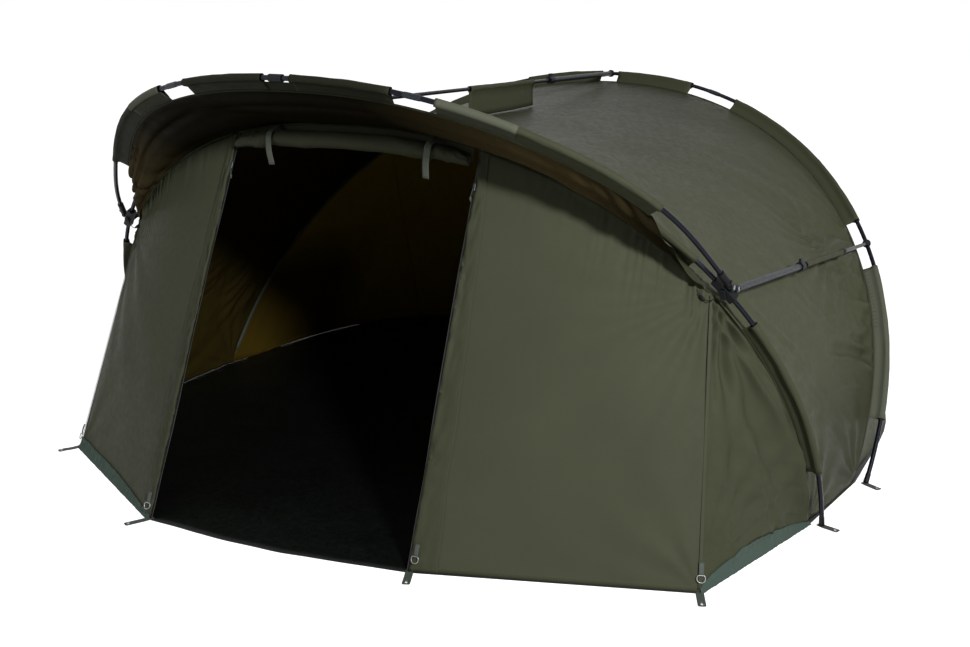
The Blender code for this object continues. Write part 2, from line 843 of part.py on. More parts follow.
def make_straps():
    """Straps under the four rib feet and at the four front corners."""
    sheet = sheet_cutter()
    for side in (1, -1):
        mirror = Vector((side, 1, 1))
        for base, rib, angle in (("main", MAIN, MAIN_STRAP_TURN), ("rear", REAR, REAR_STRAP_TURN)):
            direction = flat_direction(angle) * mirror
            foot = rib.frame(rib.angle_at_reach(foot_reach(rib.lean))).centre * mirror
            start = Vector((foot.x, foot.y, 0)) - direction * FOOT_STRAP_INNER
            length = FOOT_STRAP_INNER + FOOT_STRAP_OUTER
            strap(side_name(f"{base}_foot_strap", side), start, direction, length, sheet)
        for base, point in (("door", door_foot(side)), ("corner", corner_foot(side))):
            direction = flat_direction(CORNER_STRAP_TURN) * mirror
            start = Vector((point.x, point.y, 0)) - direction * CORNER_STRAP_INNER
            length = CORNER_STRAP_INNER + CORNER_STRAP_OUTER
            strap(side_name(f"{base}_strap", side), start, direction, length, sheet)


# Frame


def pole_points(frames):
    return [frame.centre for frame in frames]


def make_poles():
    """The main arc and its two legs, the rear rib and the peak rib."""
    arc = pole_points(ARC_FRAMES)
    reach = HUB_HEIGHT / 2 - HUB_DROP - SOCKET_DEPTH
    arc[0] = arc[0] + (arc[1] - arc[0]).normalized() * reach
    arc[-1] = arc[-1] + (arc[-2] - arc[-1]).normalized() * reach
    pole("main_arc_pole", arc, POLE_RADIUS, POLE_LOOK)
    for side in (1, -1):
        leg = pole_points(side_line(side, MAIN_FRAMES)[: LOWER_STEPS + 1])
        down = HUB_HEIGHT / 2 + HUB_DROP - SOCKET_DEPTH
        leg[-1] = leg[-1] + (leg[-2] - leg[-1]).normalized() * down
        pole(side_name("leg_pole", side), leg, POLE_RADIUS, POLE_LOOK)
    feet = Vector((0, REAR_FOOT_Y, 0))
    rear = pole("rear_rib_pole", pole_points(REAR_FRAMES), POLE_RADIUS, POLE_LOOK)
    set_origin(rear, feet)
    mouth = PEAK.angle_at_reach(KNUCKLE_START + KNUCKLE_LENGTH)
    bare = spread(mouth, PEAK_ANGLES[0], PEAK_BARE_STEPS)[:-1]
    points = pole_points(PEAK.frames(bare + PEAK_ANGLES))
    right, left = (knuckle_line(side) for side in (1, -1))
    points.insert(0, towards(right[1], right[0], KNUCKLE_SOCKET))
    points.append(towards(left[1], left[0], KNUCKLE_SOCKET))
    peak = pole("peak_rib_pole", points, POLE_RADIUS, POLE_LOOK)
    set_origin(peak, PEAK.foot)


def hub_axes(side):
    """The hub's block follows the pole through it: outward, back and up along the pole."""
    return [axis * Vector((side, 1, 1)) for axis in (HUB.out, HUB.side, HUB_TANGENT)]


def upright_axes():
    return Vector((1, 0, 0)), MAIN.side, MAIN.up


def socket(name, inner, outer, radius=POLE_RADIUS):
    """A cutter for the blind hole that takes a pole's end."""
    size = bore_radius(radius, ROUND_SIDES, RUNNING_GAP)
    return turned(name, inner, outer, size, None, ROUND_SIDES, CUTTERS)


def lug_centre(side):
    """The middle of the lug behind the hub that carries a side bar."""
    centre = HUB.centre - HUB_TANGENT * HUB_LUG_DOWN + MAIN.side * HUB_LUG.y / 2
    return centre * Vector((side, 1, 1))


def bar_pivot(side):
    """Where a side bar turns, on the outer face of its lug."""
    lug = lug_centre(side)
    out = HUB_LUG.x / 2 + RUNNING_GAP + EYE_THICK / 2
    return lug + MAIN.side * (BAR_PIVOT_BACK - HUB_LUG.y / 2) + Vector((side * out, 0, 0))


def peak_pivot(side):
    return Vector((side * PEAK_PIVOT.x, PEAK_PIVOT.y, PEAK_PIVOT.z))


def make_pivot(side, hub, base, pivot, depth):
    """A pin through an eye into the hub, with its hole and its head."""
    outward = Vector((side, 0, 0))
    hole = bore_radius(PIN_RADIUS, ROUND_SIDES)
    face = pivot + outward * (EYE_THICK / 2 + GAP)
    shank = pivot - outward * depth
    boolean(hub, turned(f"{hub.name}_{base}_hole", shank - outward * GAP, face, hole, None,
                        ROUND_SIDES, CUTTERS))
    head = turned(side_name(f"{base}_head", side), face, face + outward * PIN_HEAD,
                  PIN_HEAD_RADIUS, None, ROUND_SIDES, CUTTERS)
    pin = turned(side_name(f"{base}_pin", side), shank, face + outward * GAP, PIN_RADIUS, STEEL_LOOK)
    boolean(pin, head, "UNION")


def make_hub(side):
    """The moulded block, its two pivot pins, the peak rib's knuckle and the corner clip."""
    frames = side_line(side, MAIN_FRAMES)
    centre = frames[LOWER_STEPS].centre
    axes = hub_axes(side)
    body = centre - axes[2] * HUB_DROP
    name = side_name("hub", side)
    outward = Vector((side, 0, 0))
    hub = block(name, body, (HUB_WIDTH, HUB_DEPTH, HUB_HEIGHT), axes, PLASTIC_LOOK)
    boolean(hub, block(name + "_lug", lug_centre(side), HUB_LUG, upright_axes(), None, CUTTERS),
            "UNION")
    rounded(hub, HUB_BEVEL)
    pivot = peak_pivot(side)
    boss = pivot - outward * (EYE_THICK / 2 + RUNNING_GAP)
    boolean(hub, turned(name + "_boss", boss - outward * HUB_BOSS_REACH, boss,
                        HUB_BOSS_RADIUS, None, ROUND_SIDES, CUTTERS), "UNION")
    for base, other in (("arc", frames[LOWER_STEPS + 1]), ("leg", frames[LOWER_STEPS - 1])):
        way = (other.centre - centre).normalized()
        drop = HUB_HEIGHT / 2 + (HUB_DROP if base == "leg" else -HUB_DROP)
        inner = centre + way * (drop - SOCKET_DEPTH - GAP)
        boolean(hub, socket(f"{name}_{base}_socket", inner, centre + way * (drop + OVERRUN)))
    make_pivot(side, hub, "peak", pivot, HUB_BOSS_REACH)
    make_pivot(side, hub, "bar", bar_pivot(side), HUB_LUG.x)
    make_knuckle(side)
    make_clip(side, body)


def knuckle_line(side):
    """Both ends of the straight stem in which the peak rib's pole is held."""
    angles = [PEAK.angle_at_reach(reach) for reach in (KNUCKLE_START, KNUCKLE_START + KNUCKLE_LENGTH)]
    return [PEAK.frame(angle if side > 0 else math.pi - angle).centre for angle in angles]


def make_knuckle(side):
    """The plastic end of the peak rib that turns on the hub's upper pin."""
    pivot = peak_pivot(side)
    outward = Vector((side, 0, 0))
    start, end = knuckle_line(side)
    name = side_name("peak_knuckle", side)
    half = outward * EYE_THICK / 2
    knuckle = turned(name, pivot - half, pivot + half, EYE_RADIUS, PLASTIC_LOOK)
    stem = turned(name + "_stem", start, end, KNUCKLE_RADIUS, None, ROUND_SIDES, CUTTERS)
    boolean(knuckle, stem, "UNION")
    way = (end - start).normalized()
    level = Vector((0, way.y, way.z)).normalized()
    size = (EYE_THICK, EYE_RADIUS, KNUCKLE_START * 2)
    axes = (outward, level.cross(outward), level)
    neck = block(name + "_neck", pivot + level * KNUCKLE_START, size, axes, None, CUTTERS)
    boolean(knuckle, neck, "UNION")
    inner = end - way * (KNUCKLE_SOCKET + GAP)
    boolean(knuckle, socket(name + "_socket", inner, end + way * OVERRUN))
    hole = bore_radius(PIN_RADIUS, ROUND_SIDES)
    low, high = pivot - outward * OVERRUN, pivot + outward * OVERRUN
    boolean(knuckle, turned(name + "_hole", low, high, hole, None, ROUND_SIDES, CUTTERS))
    set_origin(knuckle, pivot)


def make_clip(side, body):
    """A flat clip that swings on a stub at the front of the hub."""
    forward = -MAIN.side
    face = body + forward * HUB_DEPTH / 2
    hub = bpy.data.objects[side_name("hub", side)]
    name = side_name("corner_clip", side)
    stub_end = face + forward * CLIP_STUB_LENGTH
    stub = turned(name + "_stub", face - forward * HUB_BEVEL, stub_end, CLIP_STUB_RADIUS,
                  None, ROUND_SIDES, CUTTERS)
    boolean(hub, stub, "UNION")
    middle = face + forward * (CLIP_STUB_LENGTH / 2)
    axes = (Vector((1, 0, 0)), MAIN.side, MAIN.up)
    centre = middle - MAIN.up * (CLIP_PLATE.z / 2 - CLIP_HOLE_DROP)
    clip = rounded(block(name, centre, tuple(CLIP_PLATE), axes, PLASTIC_LOOK), CLIP_BEVEL)
    hole = bore_radius(CLIP_STUB_RADIUS, ROUND_SIDES)
    low, high = middle - forward * OVERRUN, middle + forward * OVERRUN
    boolean(clip, turned(name + "_hole", low, high, hole, None, ROUND_SIDES, CUTTERS))
    set_origin(clip, middle)


def ring_on(name, frames, spot, length, look):
    """A round fitting on a pole, centred on one of its stations."""
    before, after = along(pole_points(frames), spot - 1 / 2), along(pole_points(frames), spot + 1 / 2)
    way = (after - before).normalized()
    centre = frames[spot].centre
    half = way * length / 2
    made = turned(name, centre - half, centre + half, TEE_RADIUS, look)
    hole = bore_radius(POLE_RADIUS, ROUND_SIDES, RUNNING_GAP * 2)
    return made, turned(name + "_bore", centre - 2 * half, centre + 2 * half, hole, None,
                        ROUND_SIDES, CUTTERS)


def rear_tee_point(side):
    """The middle of the rear rib where a side bar meets it."""
    return side_line(side, REAR_FRAMES)[LOWER_STEPS].centre


def rear_top_point():
    return REAR_FRAMES[TOP].centre


def centre_pivot():
    """Where the centre bar turns, behind and above the top of the main arc."""
    top = MAIN_FRAMES[TOP]
    return top.centre + MAIN.side * MAIN_TEE_PIVOT_BACK + MAIN.up * MAIN_TEE_PIVOT_UP


def make_rear_tee(name, spot):
    """A ball-shaped joint on the rear rib, against which a bar's end turns."""
    frames = REAR_FRAMES
    made, bore = ring_on(name, frames, spot, TEE_LENGTH, PLASTIC_LOOK)
    bm = bmesh.new()
    bmesh.ops.create_uvsphere(
        bm, u_segments=ROUND_SIDES, v_segments=TEE_BALL_RINGS, radius=TEE_BALL_RADIUS
    )
    bmesh.ops.translate(bm, vec=frames[spot].centre, verts=bm.verts)
    boolean(made, mesh_object(name + "_ball", bm, None, CUTTERS), "UNION")
    boolean(made, bore)
    return set_origin(made, Vector((0, REAR_FOOT_Y, 0)))


def make_bar_parts(names, start, way, tube_span, rod_span):
    """A tube, the rod that slides in its open end, and the lock collar over that end."""
    tube_name, rod_name, collar_name = names
    tube = turned(tube_name, start + way * tube_span[0], start + way * tube_span[1],
                  TUBE_RADIUS, BAR_LOOK)
    rod = turned(rod_name, start + way * rod_span[0], start + way * rod_span[1],
                 ROD_RADIUS, POLE_LOOK)
    opens_back = rod_span[1] > tube_span[1]
    mouth_at, closed_at = tube_span[::-1] if opens_back else tube_span
    outward = way if opens_back else -way
    mouth, closed = start + way * mouth_at, start + way * closed_at
    hole = bore_radius(ROD_RADIUS, ROUND_SIDES, RUNNING_GAP)
    boolean(tube, turned(tube_name + "_bore", closed + outward * TUBE_END_WALL,
                         mouth + outward * OVERRUN, hole, None, ROUND_SIDES, CUTTERS))
    near = mouth + outward * GAP
    far = near + outward * COLLAR_LENGTH
    collar = turned(collar_name, near, far, COLLAR_RADIUS, PLASTIC_LOOK)
    across = way.cross(Vector((0, 0, 1))).normalized()
    upward = across.cross(way).normalized()
    middle = (near + far) / 2 + upward * COLLAR_RADIUS
    wing_size = (COLLAR_WING_LENGTH, COLLAR_WING_WIDTH, COLLAR_WING * 2)
    wing = block(collar_name + "_wing", middle, wing_size, (way, across, upward), None, CUTTERS)
    boolean(collar, wing, "UNION")
    boolean(collar, turned(collar_name + "_bore", near - outward * OVERRUN,
                           far + outward * OVERRUN, hole, None, ROUND_SIDES, CUTTERS))
    return tube, rod, collar


def add_eye(piece, pivot, outward):
    """A flat eye on a bar's end, bored for its pin."""
    name = piece.name
    half = outward * EYE_THICK / 2
    boolean(piece, turned(name + "_eye", pivot - half, pivot + half, EYE_RADIUS, None,
                          ROUND_SIDES, CUTTERS), "UNION")
    hole = bore_radius(PIN_RADIUS, ROUND_SIDES)
    low, high = pivot - outward * OVERRUN, pivot + outward * OVERRUN
    boolean(piece, turned(name + "_eye_hole", low, high, hole, None, ROUND_SIDES, CUTTERS))


def bar_line(start, tee):
    """A bar's direction and the length that stops it just short of the rear rib's joint."""
    reach = tee - start
    return reach.normalized(), reach.length - TEE_BALL_RADIUS - BAR_END_CLEARANCE


def make_side_bar(side):
    """A telescopic tension bar from the hub back to the rear rib."""
    start, tee = bar_pivot(side), rear_tee_point(side)
    way, span = bar_line(start, tee)
    names = [side_name(base, side) for base in ("side_tube", "side_rod", "side_lock")]
    tube, rod, collar = make_bar_parts(
        names, start, way, (EYE_SETBACK, SIDE_TUBE_LENGTH), (SIDE_TUBE_LENGTH - ROD_OVERLAP, span)
    )
    add_eye(tube, start, Vector((side, 0, 0)))
    for piece in (tube, rod, collar):
        set_origin(piece, start)
    joint_empty(side_name("bar_swing", side), start, [tube, rod, collar])
    spot = LOWER_STEPS if side > 0 else 2 * TOP - LOWER_STEPS
    make_rear_tee(side_name("rear_tee", side), spot)
    cover(side_name("side_cover", side), start, way, side)


def cover(name, start, way, side):
    """The cloth cover round a side bar's rod."""
    out = Vector((side, 0, 0)) * math.cos(math.pi / 4) + Vector((0, 0, 1)) * math.sin(math.pi / 4)
    out = (out - way * out.dot(way)).normalized()
    across = way.cross(out).normalized()
    frames = [Frame(start + way * spot, out, across) for spot in spread(*SIDE_COVER_SPAN, COVER_STEPS)]
    outline = teardrop(COVER_RADIUS, SIDE_COVER_DEPTH)
    made = sweep(name, frames, [outline] * len(frames), CLOTH_LOOK)
    hole = bore_radius(ROD_RADIUS, ROUND_SIDES, RUNNING_GAP)
    ends = extended(frames)
    boolean(made, turned(name + "_bore", ends[0].centre, ends[-1].centre, hole, None,
                         ROUND_SIDES, CUTTERS))


def make_centre_bar():
    """The centre bar: its rod turns on the main arc, and its tube reaches the rear rib's top."""
    start, top = centre_pivot(), rear_top_point()
    way, span = bar_line(start, top)
    names = ("centre_tube", "centre_rod", "centre_lock")
    tube, rod, collar = make_bar_parts(
        names, start, way, (CENTRE_MOUTH, span), (EYE_SETBACK, CENTRE_MOUTH + ROD_OVERLAP)
    )
    outward = Vector((1, 0, 0))
    add_eye(rod, start, outward)
    make_main_tee(start, outward)
    make_rear_tee("rear_tee_centre", TOP)
    for piece in (tube, rod, collar):
        set_origin(piece, start)
    joint_empty("centre_bar_swing", start, [tube, rod, collar])
    centre_cover(start, way)


def centre_cover(start, way):
    """The cloth cover on the centre bar's rod, with a skirt down to the roof."""
    out = (Vector((0, 0, 1)) - way * way.z).normalized()
    across = way.cross(out).normalized()
    spots = spread(*CENTRE_COVER_SPAN, COVER_STEPS)
    frames = [Frame(start + way * spot, out, across) for spot in spots]
    middle = roof_rows()[UPPER_STEPS]
    outlines = []
    for frame in frames:
        share = (frame.centre.y - middle[0].y) / (middle[-1].y - middle[0].y)
        roof = along(middle, share * ROOF_SPANS)
        depth = frame.centre.z - roof.z - WELT_RADIUS - CLOTH / 2 - COVER_LIFT
        outlines.append(teardrop(COVER_RADIUS, depth))
    made = sweep("centre_cover", frames, outlines, CLOTH_LOOK)
    hole = bore_radius(ROD_RADIUS, ROUND_SIDES, RUNNING_GAP)
    ends = extended(frames)
    boolean(made, turned("centre_cover_bore", ends[0].centre, ends[-1].centre, hole, None,
                         ROUND_SIDES, CUTTERS))


def make_main_tee(pivot, outward):
    """The ring on the main arc's top with a lug and stub for the centre bar."""
    made, bore = ring_on("main_tee", MAIN_FRAMES, TOP, TEE_LENGTH, PLASTIC_LOOK)
    centre = MAIN_FRAMES[TOP].centre
    inner = outward * (EYE_THICK / 2 + GAP)
    root = centre - inner - outward * LUG_THICK / 2
    tip = pivot - inner - outward * LUG_THICK / 2
    middle = (root + tip) / 2
    way = (tip - root).normalized()
    across = way.cross(outward).normalized()
    size = (LUG_THICK, EYE_RADIUS, (tip - root).length + EYE_RADIUS)
    lug = block("main_tee_lug", middle, size, (outward, across, way), None, CUTTERS)
    boolean(made, lug, "UNION")
    boolean(made, bore)
    stub_from = tip
    stub_to = pivot + inner + outward * PIN_HEAD
    stub = turned("main_tee_stub", stub_from, stub_to, PIN_RADIUS, None, ROUND_SIDES, CUTTERS)
    boolean(made, stub, "UNION")
    return made


def make_peak_fitting():
    """The ferrule that joins the peak rib's two halves in the middle."""
    frames = PEAK_FRAMES
    centre = frames[UPPER_STEPS].centre
    half = Vector((1, 0, 0)) * FITTING_LENGTH / 2
    made = turned("peak_ferrule", centre - half, centre + half, FITTING_RADIUS, PLASTIC_LOOK)
    hole = bore_radius(POLE_RADIUS, ROUND_SIDES, RUNNING_GAP * 2)
    cutter = turned("peak_ferrule_bore", centre - 2 * half, centre + 2 * half, hole, None,
                    ROUND_SIDES, CUTTERS)
    boolean(made, cutter)
    return set_origin(made, PEAK.foot)


def reach_stations(rib, angles):
    """How far up its plane each right-hand station is."""
    return [(rib.frame(angle).centre - rib.foot).dot(rib.up) for angle in angles]


def width_stations(rib, angles):
    return [rib.frame(angle).centre.x for angle in angles]


def both_sides(first, last, total):
    """A window on the right side and its mirror on the left."""
    return [(first, last), (total - last, total - first)]


def make_sleeves():
    """The sleeves on the three ribs, with the windows that leave the poles bare."""
    reaches = reach_stations(REAR, REAR_ANGLES)
    widths = width_stations(REAR, REAR_ANGLES)
    total = 2 * TOP
    low = station(reaches, REAR_SLEEVE_END)
    windows = both_sides(
        station(reaches, REAR_TEE_REACH - REAR_TEE_WINDOW / 2),
        station(reaches, REAR_TEE_REACH + REAR_TEE_WINDOW / 2),
        total,
    )
    upper = (station(widths, REAR_SIDE_WINDOW_X[1]), station(widths, REAR_SIDE_WINDOW_X[0]))
    windows += both_sides(*upper, total)
    top = station(widths, REAR_CENTRE_WINDOW_HALF)
    windows.append((top, total - top))
    rear = sleeve("rear_sleeve", REAR_FRAMES, low, total - low, SLEEVE_DEPTH, windows)
    set_origin(rear, Vector((0, REAR_FOOT_Y, 0)))
    total = 2 * UPPER_STEPS
    widths = width_stations(PEAK, PEAK_ANGLES)
    windows = both_sides(
        station(widths, PEAK_WINDOW_X[1]), station(widths, PEAK_WINDOW_X[0]), total
    )
    top = station(widths, CENTRE_WINDOW_HALF)
    windows.append((top, total - top))
    peak = sleeve("peak_sleeve", PEAK_FRAMES, 0, total, PEAK_SLEEVE_DEPTH, windows)
    set_origin(peak, PEAK.foot)
    widths = width_stations(MAIN, MAIN_ANGLES)[LOWER_STEPS:]
    top = station(widths, CENTRE_WINDOW_HALF)
    ends = 1 + 1 / UPPER_STEPS
    sleeve("main_sleeve", ARC_FRAMES, ends, total - ends, SLEEVE_DEPTH, [(top, total - top)])
    reaches = reach_stations(MAIN, MAIN_ANGLES)
    first = station(reaches, LEG_SLEEVE_START)
    last = station(reaches, HUB_REACH - LEG_SLEEVE_HUB_GAP)
    for side in (1, -1):
        frames = side_line(side, MAIN_FRAMES)
        sleeve(side_name("leg_sleeve", side), frames, first, last, SLEEVE_DEPTH, [])


# Door


def roll_radius(x):
    """The roll is full in the middle and gathered at the door's top corners."""
    past = max(abs(x) - ROLL_FULL_HALF_WIDTH, 0) / (ROLL_HALF_WIDTH - ROLL_FULL_HALF_WIDTH)
    return ROLL_RADIUS + (ROLL_END_RADIUS - ROLL_RADIUS) * past


def roll_centre(hung_from):
    """The roll's middle below a point of the seam: level in the middle, up at the corners."""
    x = hung_from.x
    level = ROLL_MIDDLE_Z - ROLL_BOW * (x / ROLL_FULL_HALF_WIDTH) ** 2
    past = max(abs(x) - ROLL_FULL_HALF_WIDTH, 0) / (ROLL_HALF_WIDTH - ROLL_FULL_HALF_WIDTH)
    corner = hung_from.z - ROLL_CORNER_DROP
    return Vector((x, hung_from.y - ROLL_FORWARD, level + (corner - level) * past))


def roll_outline(radius, depth, turn):
    """The roll's round, with the layers of its last folds, and the cloth up to the seam."""
    points = []
    first = math.asin(CLOTH / 2 / radius)
    for j in range(ROLL_SIDES + 1):
        angle = first + (2 * math.pi - 2 * first) * j / ROLL_SIDES
        fold = ROLL_SWELL_SHARE * math.sin(angle / 2) * (1 - math.cos(ROLL_FOLDS * angle + turn)) / 2
        points.append((radius * (1 - fold) * math.cos(angle), radius * (1 - fold) * math.sin(angle)))
    points.append((depth - SEAM_CLEAR, -CLOTH / 2))
    points.append((depth - SEAM_CLEAR, CLOTH / 2))
    return points


def make_rolled_door():
    """The door panel, sewn under the main arc's seam and rolled up below it."""
    widths = [point.x for point in MAIN_SEAM]
    first, last = station(widths, ROLL_HALF_WIDTH), station(widths, -ROLL_HALF_WIDTH)
    full = [station(widths, side * ROLL_FULL_HALF_WIDTH) for side in (1, -1)]
    places = sorted([first, last] + full + [i for i in range(2 * TOP) if first < i < last])
    frames, outlines = [], []
    for i, spot in enumerate(places):
        hung_from = along(MAIN_SEAM, spot)
        centre = roll_centre(hung_from)
        reach = hung_from - centre
        out = reach.normalized()
        frames.append(Frame(centre, out, Vector((1, 0, 0)).cross(out)))
        turn = i * math.pi / ROLL_FOLDS
        outlines.append(roll_outline(roll_radius(centre.x), reach.length, turn))
    sweep("rolled_door", frames, outlines, CLOTH_LOOK)


def make_zip_slider(side):
    """A zip slider on the door's edge, just below the rolled door."""
    rows = front_rows(side)
    top, foot = rows[-1][0], rows[-1][-1]
    way = (foot - top).normalized()
    across = Vector((-side, 0, 0))
    across = (across - way * across.dot(way)).normalized()
    depth = way.cross(across).normalized()
    centre = top + way * SLIDER_DROP + across * (SLIDER_SIZE.x / 2 + SLIDER_GAP)
    name = side_name("zip_slider", side)
    made = block(name, centre, tuple(SLIDER_SIZE), (across, depth, way), STEEL_LOOK)
    rounded(made, SLIDER_BEVEL)
    return set_origin(made, centre)


def main():
    start_scene()
    make_cloth()
    make_groundsheet()
    make_straps()
    make_poles()
    make_sleeves()
    for side in (1, -1):
        make_hub(side)
        make_side_bar(side)
        make_zip_slider(side)
    make_centre_bar()
    make_peak_fitting()
    make_rolled_door()


main()
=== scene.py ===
"""The looks of a two-rib bivvy tent with a forward peak: cloth, poles, fittings, floor and light."""

import json
import math
from collections import namedtuple
from functools import lru_cache

import bmesh
import bpy
import numpy as np
from mathutils import Matrix, Vector


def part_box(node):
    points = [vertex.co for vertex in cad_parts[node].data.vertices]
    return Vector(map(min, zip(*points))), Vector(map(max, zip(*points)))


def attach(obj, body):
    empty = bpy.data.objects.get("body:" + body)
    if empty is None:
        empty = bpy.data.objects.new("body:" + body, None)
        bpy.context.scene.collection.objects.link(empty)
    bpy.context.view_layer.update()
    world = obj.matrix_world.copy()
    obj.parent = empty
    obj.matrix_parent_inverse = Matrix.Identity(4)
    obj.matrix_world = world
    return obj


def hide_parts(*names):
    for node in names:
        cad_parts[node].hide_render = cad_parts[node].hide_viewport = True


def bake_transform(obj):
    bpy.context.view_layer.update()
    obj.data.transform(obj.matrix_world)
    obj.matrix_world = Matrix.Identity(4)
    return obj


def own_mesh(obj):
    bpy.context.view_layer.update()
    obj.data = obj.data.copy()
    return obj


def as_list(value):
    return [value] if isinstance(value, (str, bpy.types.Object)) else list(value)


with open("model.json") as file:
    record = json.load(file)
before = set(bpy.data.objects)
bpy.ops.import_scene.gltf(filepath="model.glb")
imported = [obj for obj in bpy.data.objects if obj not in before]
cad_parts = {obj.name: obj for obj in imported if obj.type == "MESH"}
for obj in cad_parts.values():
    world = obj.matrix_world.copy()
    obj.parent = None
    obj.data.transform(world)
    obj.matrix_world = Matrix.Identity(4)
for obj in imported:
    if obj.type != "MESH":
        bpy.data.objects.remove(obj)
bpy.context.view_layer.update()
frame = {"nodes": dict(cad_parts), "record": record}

# The right side of the tent and the left, and ways along its length
SIDES = (1, -1)
BACKWARD = (0, 1, 0)
FORWARD = Vector((0, -1, 0))

# Footprint on the ground, as the solids have it
DOOR_HALF_WIDTH = 0.483
DOOR_FOOT_Y = -1.3725
DOOR_SKEW = Vector((0.013, 0.058, 0))
CORNER_HALF_WIDTH = 1.252
CORNER_FOOT_Y = -1.0345
CORNER_SKEW = Vector((0.050, 0.038, 0))
BACK_HEM_Y = 1.5045
BACK_HEM_HALF_WIDTH = 1.455
BACK_HEM_POWER = 3.5
BACK_HEM_START = 0.06
HEM_LIFT = 0.0024
FOOT_LIFT = 0.0023
SHEET_UNDER_HEM = 0.008
DOOR_BELLY = 0.034

# The three ribs
MAIN_FOOT_Y = -0.3455
MAIN_LEAN = math.radians(-23.2)
MAIN_SHAPE = (1.482, 1.325, 0.12, 2.17)
HUB_REACH = 0.927
REAR_FOOT_Y = 0.0845
REAR_LEAN = math.radians(37.5)
REAR_SHAPE = (1.52, 1.55, 0.15, 2.08)
REAR_TEE_REACH = 0.957
PEAK_LEAN = math.radians(-41.8)
PEAK_RISE = 0.802
PEAK_CENTRE_DROP = 0.602
PEAK_POWER = 2.32
PEAK_SWAY = 0.044
PEAK_SLEEVE_START = 0.345
PEAK_X = 1.2529157
PEAK_PIVOT_Y = -0.71147
PEAK_PIVOT_Z = 0.85388

# Poles, and the sleeves with their windows
POLE_RADIUS = 0.008
SLEEVE_DEPTH = 0.045
PEAK_SLEEVE_DEPTH = 0.055
SLEEVE_RADIUS = 0.0114
LEG_SLEEVE_SPAN = (0.24, 0.80)
REAR_SLEEVE_END = 0.254
REAR_TEE_WINDOW = 0.19
REAR_SIDE_WINDOW_X = (0.41, 0.63)
PEAK_WINDOW_X = (0.395, 0.53)
CENTRE_WINDOW_HALF = 0.055
REAR_CENTRE_WINDOW_HALF = 0.042

# Steps along the ribs: the solids' own, and how many finer ones the cloth has for each
LOWER_STEPS = 6
UPPER_STEPS = 12
FINE = 5
LOWER = LOWER_STEPS * FINE
UPPER = UPPER_STEPS * FINE
TOP = LOWER + UPPER
DOOR_STATION = LOWER + 8 * FINE
ROOF_COLUMNS = 72
BACK_COLUMNS = 56
FRONT_COLUMNS = 72
WING_COLUMNS = 34
PEAK_COLUMNS = 26
FLOOR_ROWS = 36
FLOOR_STEP = 0.03
RIBBON_COLUMNS = 5
SAME_STATION = 0.05

# How the sheets hang and lie
ROOF_SAG = 0.05
SIDE_SAG = 0.02
BACK_SAG = 0.03
CANOPY_SAG = 0.02
PEAK_STILL = 0.16
PANEL_BULGE = 0.015
WING_TOP_SHARE = 0.93
LEFT_WING_SHARE = 0.3
CLOTH_THICK = 0.0009
SHEET_LIFT = 0.0012
GROUND_REACH = 0.001
SHARP_ANGLE = math.radians(40)

# Stitches and weave, and the distance given to cloth that has no seam nearby
STITCH_ROWS = (0.007, 0.014)
STITCH_LENGTH = 0.005
STITCH_WIDTH = 0.0011
STITCH_SHARE = 0.68
WEAVE_PITCH = 0.0011
WAVE_PERIOD = 0.314159
FAR_OFF = 9.0

Frame = namedtuple("Frame", "centre out side")


# Ribs


class Rib:
    """An arched pole in a leaning plane."""

    def __init__(self, foot, lean, half_width, rise, spring, power, sway=0.0):
        self.foot, self.lean = foot, lean
        self.half_width, self.rise, self.spring, self.power = half_width, rise, spring, power
        self.sway = sway
        self.up = Vector((0, math.sin(lean), math.cos(lean)))
        self.side = Vector((0, math.cos(lean), -math.sin(lean)))

    def angle_at_reach(self, reach):
        share = (reach - self.spring) / self.rise
        return math.copysign(math.asin(abs(share) ** (self.power / 2)), share)

    def frame(self, angle):
        cos, sin = math.cos(angle), math.sin(angle)
        width = math.copysign(abs(cos) ** (2 / self.power), cos) * self.half_width
        reach = self.spring + math.copysign(abs(sin) ** (2 / self.power), sin) * self.rise
        slope = 2 - 2 / self.power
        across = math.copysign(abs(cos) ** slope, cos) / self.half_width
        along = math.copysign(abs(sin) ** slope, sin) / self.rise
        out = (Vector((1, 0, 0)) * across + self.up * along).normalized()
        share = min(max(reach / (self.spring + self.rise), 0), 1)
        sway = self.sway * math.sin(math.pi * share) ** 2
        return Frame(self.foot + Vector((width + sway, 0, 0)) + self.up * reach, out, self.side)

    def frames(self, angles):
        right = [self.frame(angle) for angle in angles]
        return right + [self.frame(math.pi - angle) for angle in reversed(angles[:-1])]


def spread(start, end, steps):
    return [start + (end - start) * i / steps for i in range(steps + 1)]


def rib_angles(rib, reach, knee):
    """Angles from a rib's foot to its knee and on to the top, each part in even steps."""
    knee_angle = rib.angle_at_reach(knee)
    lower = spread(rib.angle_at_reach(reach), knee_angle, LOWER)
    return lower + spread(knee_angle, math.pi / 2, UPPER)[1:]


def foot_reach(lean):
    return (FOOT_LIFT + POLE_RADIUS * abs(math.sin(lean))) / math.cos(lean)


